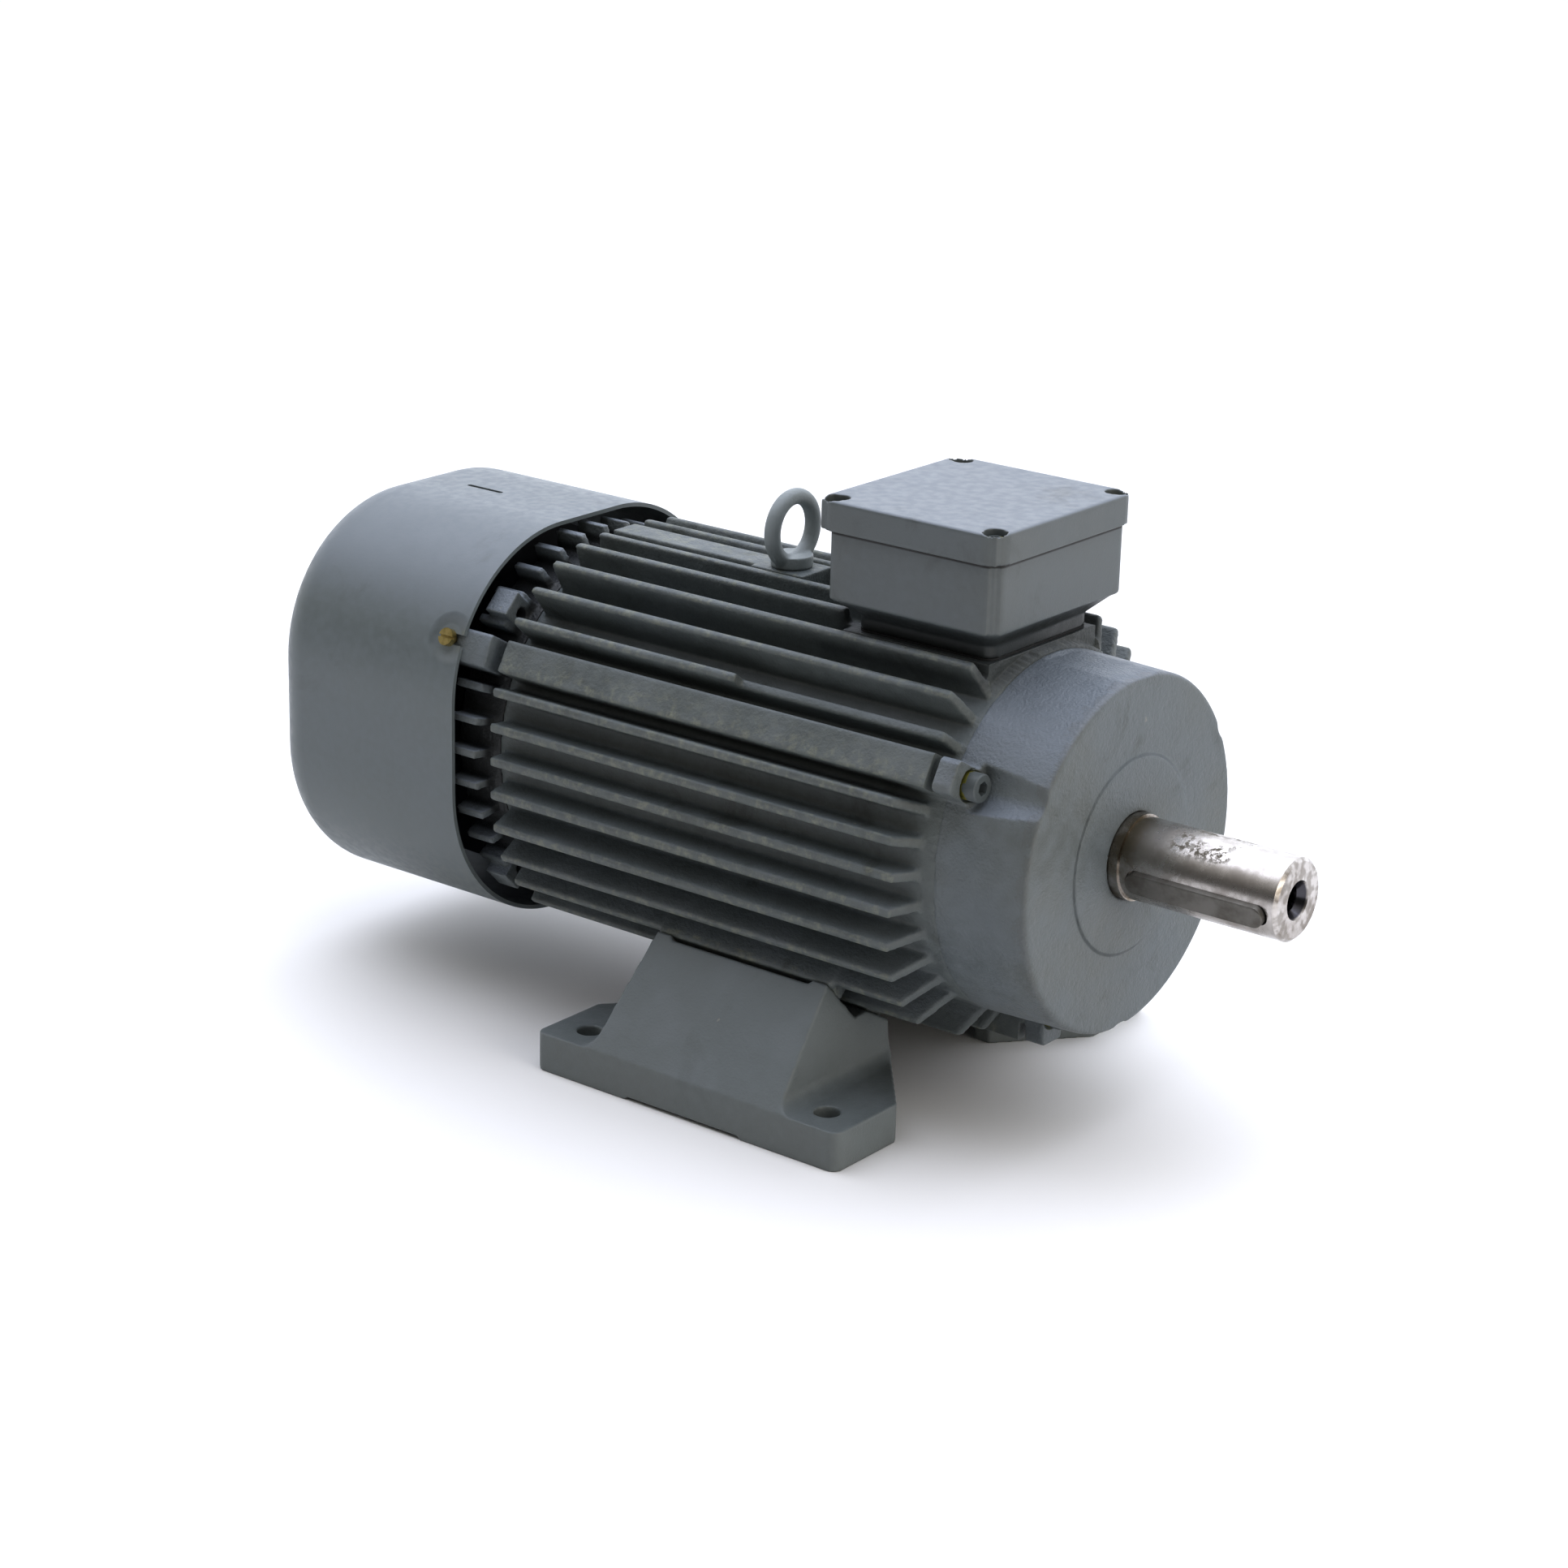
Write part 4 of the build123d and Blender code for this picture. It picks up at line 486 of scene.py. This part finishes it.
joint = dict(x=0.106, notchRadius=0.0925, ribBack=0.0025, lugBack=0.0015, flatten=0.03,
             lapRadius=0.0815, lapDepth=0.0014, cover=0.0012)
boxSeat = dict(halfWidth=0.0428, radius=0.0862, end=0.1012, flatten=0.1)
drumPad = dict(angle=88.0, radius=0.0845, depth=0.0011, start=0.1085, end=0.1535, taper=0.0325)
sealLip = dict(radius=0.0222, start=0.148, narrower=0.0008)
boxShape = dict(middle=0.063, halfLength=0.0452, halfWidth=0.0502)
lidSkin = dict(back=0.002, front=0.001, near=0.002)
boxSkin = dict(back=0.0, front=0.001, near=0.001)


def housingEnd(piece):
    def change(points):
        radius = radiusOf(points)
        x = points[:, 0]
        # outside the screws the ribs stop short of the joint
        start = joint["x"] - joint["ribBack"]
        rib = (radius > joint["notchRadius"]) & (x > start)
        x[rib] = start + (x[rib] - start) * joint["flatten"]
        # below them the barrel laps the shield, so the seam closes
        lap = (radius < joint["notchRadius"]) & (radius > joint["lapRadius"]) & (x > joint["x"] - joint["lapDepth"])
        x[lap] += joint["cover"]
        # the seat under the terminal box ends flush with the box's neck
        seat = (np.abs(points[:, 1]) < boxSeat["halfWidth"]) & (points[:, 2] > axisZ)
        seat &= (radius > boxSeat["radius"]) & (x > boxSeat["end"])
        x[seat] = boxSeat["end"] + (x[seat] - boxSeat["end"]) * boxSeat["flatten"]
    movePoints(piece, change)


def shieldSkin(piece):
    def change(points):
        radius = radiusOf(points)
        x = points[:, 0]
        # the lugs' side of the notch
        start = joint["x"] + joint["lugBack"]
        lug = (radius > joint["notchRadius"]) & (x < start)
        x[lug] = start - (start - x[lug]) * joint["flatten"]
        # the lip round the shaft comes closer to it
        lip = (radius < sealLip["radius"]) & (x > sealLip["start"])
        pull = np.where(lip, sealLip["narrower"] / np.maximum(radius, 1e-6), 0.0)
        points[:, 1] -= points[:, 1] * pull
        points[:, 2] -= (points[:, 2] - axisZ) * pull
        # the shallow flat along the top of the drum
        tilt = math.radians(drumPad["angle"])
        height = points[:, 1] * math.cos(tilt) + (points[:, 2] - axisZ) * math.sin(tilt)
        limit = drumPad["radius"] - (x - joint["x"]) * drumPad["taper"] - drumPad["depth"]
        over = (height > limit) & (x > drumPad["start"]) & (x < drumPad["end"])
        points[over, 1] -= (height - limit)[over] * math.cos(tilt)
        points[over, 2] -= (height - limit)[over] * math.sin(tilt)
    movePoints(piece, change)


def wider(sizes):
    # the outside of the lid or box, moved out on the sides that the photograph shows
    def carve(piece):
        def change(points):
            x = points[:, 0] - boxShape["middle"]
            points[:, 0] += np.where(x > boxShape["halfLength"], sizes["front"], 0)
            points[:, 0] -= np.where(x < -boxShape["halfLength"], sizes["back"], 0)
            points[:, 1] -= np.where(points[:, 1] < -boxShape["halfWidth"], sizes["near"], 0)
        movePoints(piece, change)
    return carve


castings = {
    "foot_near": ("footNear", dict(voxel=0.0009, passes=5, triangles=120000)),
    "foot_far": ("footFar", dict(voxel=0.0009, passes=5, triangles=60000)),
    "terminal_box": ("terminalBox", dict(voxel=0.0008, passes=3, triangles=90000, carve=wider(boxSkin))),
    "terminal_lid": ("terminalLid", dict(voxel=0.0006, passes=3, triangles=110000, carve=wider(lidSkin))),
    "drive_end_shield": ("driveEndShield", dict(voxel=0.0009, passes=3, triangles=190000, carve=shieldSkin)),
    "fan_end_shield": ("fanEndShield", dict(voxel=0.001, passes=2, triangles=150000)),
    "stator_housing": ("housing", dict(voxel=0.001, passes=7, triangles=196000, carve=housingEnd)),
    "lifting_eye": ("liftingEye", dict(voxel=0.0006, passes=4, triangles=50000)),
}
for node, (name, look) in castings.items():
    softCasting(node, name, look)
print("castings:", len(castings))


def screwTree(sizes):
    # a cap screw with a chamfered head and a hexagon socket at each point, along the point's "facing"
    tree = bpy.data.node_groups.new("capScrews", "GeometryNodeTree")
    tree.interface.new_socket("seats", in_out="INPUT", socket_type="NodeSocketGeometry")
    for name in sizes:
        tree.interface.new_socket(name, in_out="INPUT", socket_type="NodeSocketFloat")
    tree.interface.new_socket("seed", in_out="INPUT", socket_type="NodeSocketInt")
    tree.interface.new_socket("metal", in_out="INPUT", socket_type="NodeSocketMaterial")
    tree.interface.new_socket("screws", in_out="OUTPUT", socket_type="NodeSocketGeometry")
    add = partial(addNode, tree)
    given = add("NodeGroupInput").outputs

    def rod(sides, steps, radius, length, middle):
        # an upright rod, and the height of its middle as a share of a length
        mesh = add("GeometryNodeMeshCylinder", {"Vertices": sides, "Side Segments": steps, "Radius": radius,
                                                "Depth": length})
        height = add("ShaderNodeMath", {0: middle[0], 1: middle[1]}, operation="MULTIPLY")
        return mesh, add("ShaderNodeCombineXYZ", {2: height})

    # the head's uppermost ring of points is drawn in for the chamfer
    head, lift = rod(64, 14, given["headRadius"], given["headHeight"], (given["headHeight"], 0.5))
    place = add("GeometryNodeInputPosition")
    nearTop = add("ShaderNodeMath", {0: given["headHeight"], 1: 0.49}, operation="MULTIPLY")
    height = add("ShaderNodeSeparateXYZ", {0: place}).outputs[2]
    rim = add("FunctionNodeCompare", {0: height, 1: nearTop}, data_type="FLOAT", operation="GREATER_THAN")
    share = add("ShaderNodeMath", {0: given["chamfer"], 1: given["headRadius"]}, operation="DIVIDE")
    inward = add("ShaderNodeMath", {0: share, 1: -1.0}, operation="MULTIPLY")
    squeeze = add("ShaderNodeCombineXYZ", {0: inward, 1: inward})
    shift = add("ShaderNodeVectorMath", {0: place, 1: squeeze}, operation="MULTIPLY")
    head = add("GeometryNodeSetPosition", {"Geometry": head, "Selection": rim, "Offset": shift})
    head = add("GeometryNodeTransform", {"Geometry": head, "Translation": lift})
    # the hexagon socket
    depth = add("ShaderNodeMath", {0: given["socketDepth"], 1: 2.0}, operation="MULTIPLY")
    socket, lift = rod(6, 1, given["socketRadius"], depth, (given["headHeight"], 1.0))
    socket = add("GeometryNodeTransform", {"Geometry": socket, "Translation": lift})
    head = add("GeometryNodeMeshBoolean", {0: head, 1: socket}, operation="DIFFERENCE", solver="EXACT")
    # the shank, and one screw at each seat with a turn of its own
    shank, drop = rod(32, 1, given["shankRadius"], given["shankLength"], (given["shankLength"], -0.5))
    shank = add("GeometryNodeTransform", {"Geometry": shank, "Translation": drop})
    screw = add("GeometryNodeJoinGeometry")
    tree.links.new(head.outputs[0], screw.inputs[0])
    tree.links.new(shank.outputs[0], screw.inputs[0])
    facing = add("GeometryNodeInputNamedAttribute", {"Name": "facing"}, data_type="FLOAT_VECTOR")
    aim = add("FunctionNodeAlignRotationToVector", {"Vector": facing}, axis="Z")
    placed = add("GeometryNodeInstanceOnPoints", {"Points": given["seats"], "Instance": screw, "Rotation": aim})
    sixth = 1.047  # of a full turn, in radians
    turn = add("FunctionNodeRandomValue", {2: 0.0, 3: sixth, 8: given["seed"]}, data_type="FLOAT")
    spin = add("ShaderNodeCombineXYZ", {2: turn})
    placed = add("GeometryNodeRotateInstances", {"Instances": placed, "Rotation": spin})
    solid = add("GeometryNodeRealizeInstances", {0: placed})
    finished = add("GeometryNodeSetMaterial", {"Geometry": solid, "Material": given["metal"]})
    add("NodeGroupOutput", {0: finished})
    return tree


def ringSeats(x, towards):
    # seats of three shield screws, on the lugs' circle
    spots = [math.radians(angle) for angle in screwRing["angles"]]
    return [((x, screwRing["radius"] * math.cos(spot), axisZ + screwRing["radius"] * math.sin(spot)),
             (towards, 0, 0)) for spot in spots]


screwRing = dict(radius=0.0865, angles=(30, 150, 270), driveSeat=0.1141, fanSeat=-0.1601)
lidSeats = dict(x=(0.021, 0.105), y=(-0.047, 0.047), z=0.2731)
largeScrew = dict(headRadius=0.0065, headHeight=0.0095, chamfer=0.0005, socketRadius=0.0034, socketDepth=0.0045,
                  shankRadius=0.0039, shankLength=0.0295)
fanScrew = dict(largeScrew, headHeight=0.008)
lidScrew = dict(headRadius=0.0042, headHeight=0.005, chamfer=0.0003, socketRadius=0.0023, socketDepth=0.0026,
                shankRadius=0.0024, shankLength=0.0155)
firstSeed = 3
sharpAngle = math.radians(30)
screws = {
    "drive_end_screws": ("driveEndScrews", largeScrew, ringSeats(screwRing["driveSeat"], 1)),
    "fan_end_screws": ("fanEndScrews", fanScrew, ringSeats(screwRing["fanSeat"], -1)),
    "lid_screws": ("lidScrews", lidScrew,
                   [((x, y, lidSeats["z"]), (0, 0, 1)) for x in lidSeats["x"] for y in lidSeats["y"]]),
}
capScrews = screwTree(largeScrew)
for order, (node, (name, sizes, seats)) in enumerate(screws.items()):
    mesh = bpy.data.meshes.new(name)
    mesh.from_pydata([seat for seat, facing in seats], [], [])
    ways = mesh.attributes.new("facing", "FLOAT_VECTOR", "POINT")
    ways.data.foreach_set("vector", np.array([facing for seat, facing in seats], np.float32).ravel())
    piece = bpy.data.objects.new(name, mesh)
    scene.collection.objects.link(piece)
    builder = piece.modifiers.new("capScrews", "NODES")
    builder.node_group = capScrews
    values = dict(sizes, seed=firstSeed + order, metal=nodeFinish[node])
    for socket in capScrews.interface.items_tree:
        if socket.in_out == "INPUT" and socket.name in values:
            builder[socket.identifier] = values[socket.name]
    plainMesh(piece)
    piece.data.shade_smooth()
    piece.data.set_sharp_from_angle(angle=sharpAngle)
    finishPiece(piece, node)
    print(name, len(piece.data.polygons), "faces")


view = dict(azimuth=37.63, elevation=19.04, roll=1.49, lens=82.84,
            place=(0.95164, -1.28923, 0.68157))
azimuth, elevation, roll = (math.radians(view[k]) for k in ("azimuth", "elevation", "roll"))
back = Vector((math.sin(azimuth) * math.cos(elevation), -math.cos(azimuth) * math.cos(elevation),
               math.sin(elevation)))
right = Vector((math.cos(azimuth), math.sin(azimuth), 0))
up = back.cross(right)
cameraX = math.cos(roll) * right + math.sin(roll) * up
cameraY = -math.sin(roll) * right + math.cos(roll) * up
camera = bpy.data.objects.new("camera", bpy.data.cameras.new("camera"))
camera.data.lens = view["lens"]
camera.data.sensor_width = 36
camera.data.clip_end = 60
turn = Matrix((cameraX, cameraY, back)).transposed().to_4x4()
camera.matrix_world = Matrix.Translation(view["place"]) @ turn
scene.collection.objects.link(camera)
scene.camera = camera

studio = dict(floorSize=24.0, skyDim=0.12, skyBright=1.75, skyTowards=(-0.3, 0.7, 0.65),
              topPower=23.0, topSize=2.4, sidePower=12.0, sideSize=1.1)
floorMesh = bpy.data.meshes.new("floor")
edge = studio["floorSize"] / 2
floorMesh.from_pydata([(-edge, -edge, 0), (edge, -edge, 0), (edge, edge, 0), (-edge, edge, 0)], [], [(0, 1, 2, 3)])
floor = bpy.data.objects.new("floor", floorMesh)
scene.collection.objects.link(floor)
# painted board, matt and faintly clouded
floorPaint, add, floorPlace = newMaterial("matt white table top")
floorClouds = add("ShaderNodeTexNoise", {"Vector": floorPlace, **cells(300.0)})
floorColour = coat(add, hexColour("#eeeded"), "#f5f4f4", floorClouds)
floorShader = add("ShaderNodeBsdfPrincipled", {"Base Color": floorColour, "Roughness": 0.55})
add("ShaderNodeOutputMaterial", {0: floorShader})
floorMesh.materials.append(floorPaint)

# a white studio that is bright overhead and behind the motor, and dim behind the camera
world = bpy.data.worlds.new("studio")
world.use_nodes = True
add = partial(addNode, world.node_tree)
direction = add("ShaderNodeTexCoord").outputs["Generated"]
towards = add("ShaderNodeVectorMath", {0: direction, 1: studio["skyTowards"]}, operation="DOT_PRODUCT")
towards = towards.outputs["Value"]
glow = add("ShaderNodeMapRange", {0: towards, 1: -0.35, 2: 0.85, 3: studio["skyDim"], 4: studio["skyBright"]}, **soft)
tint = coat(add, hexColour("#fbf8f3"), "#f1f4fb", region(add, (towards, -0.2, 0.8)))
background = world.node_tree.nodes["Background"]
for index, node in enumerate((tint, glow)):
    output = next(output for output in node.outputs if output.enabled)
    world.node_tree.links.new(output, background.inputs[index])
scene.world = world


def softBox(name, place, target, size, power, colour):
    data = bpy.data.lights.new(name, "AREA")
    data.shape = "SQUARE"
    data.size = size
    data.energy = power
    data.color = hexColour(colour)[:3]
    lamp = bpy.data.objects.new(name, data)
    lamp.location = place
    lamp.rotation_euler = (Vector(target) - Vector(place)).to_track_quat("-Z", "Y").to_euler()
    scene.collection.objects.link(lamp)


softBox("topLight", (-0.35, 0.1, 1.9), (0, 0, 0.1), studio["topSize"], studio["topPower"], "#e9efff")
softBox("sideLight", (2.0, -0.35, 0.75), (0.1, 0, 0.15), studio["sideSize"], studio["sidePower"], "#fff8ee")
scene.view_settings.view_transform = "Standard"
scene.view_settings.gamma = 0.85  # the contrast of a camera picture
print("camera and light set")
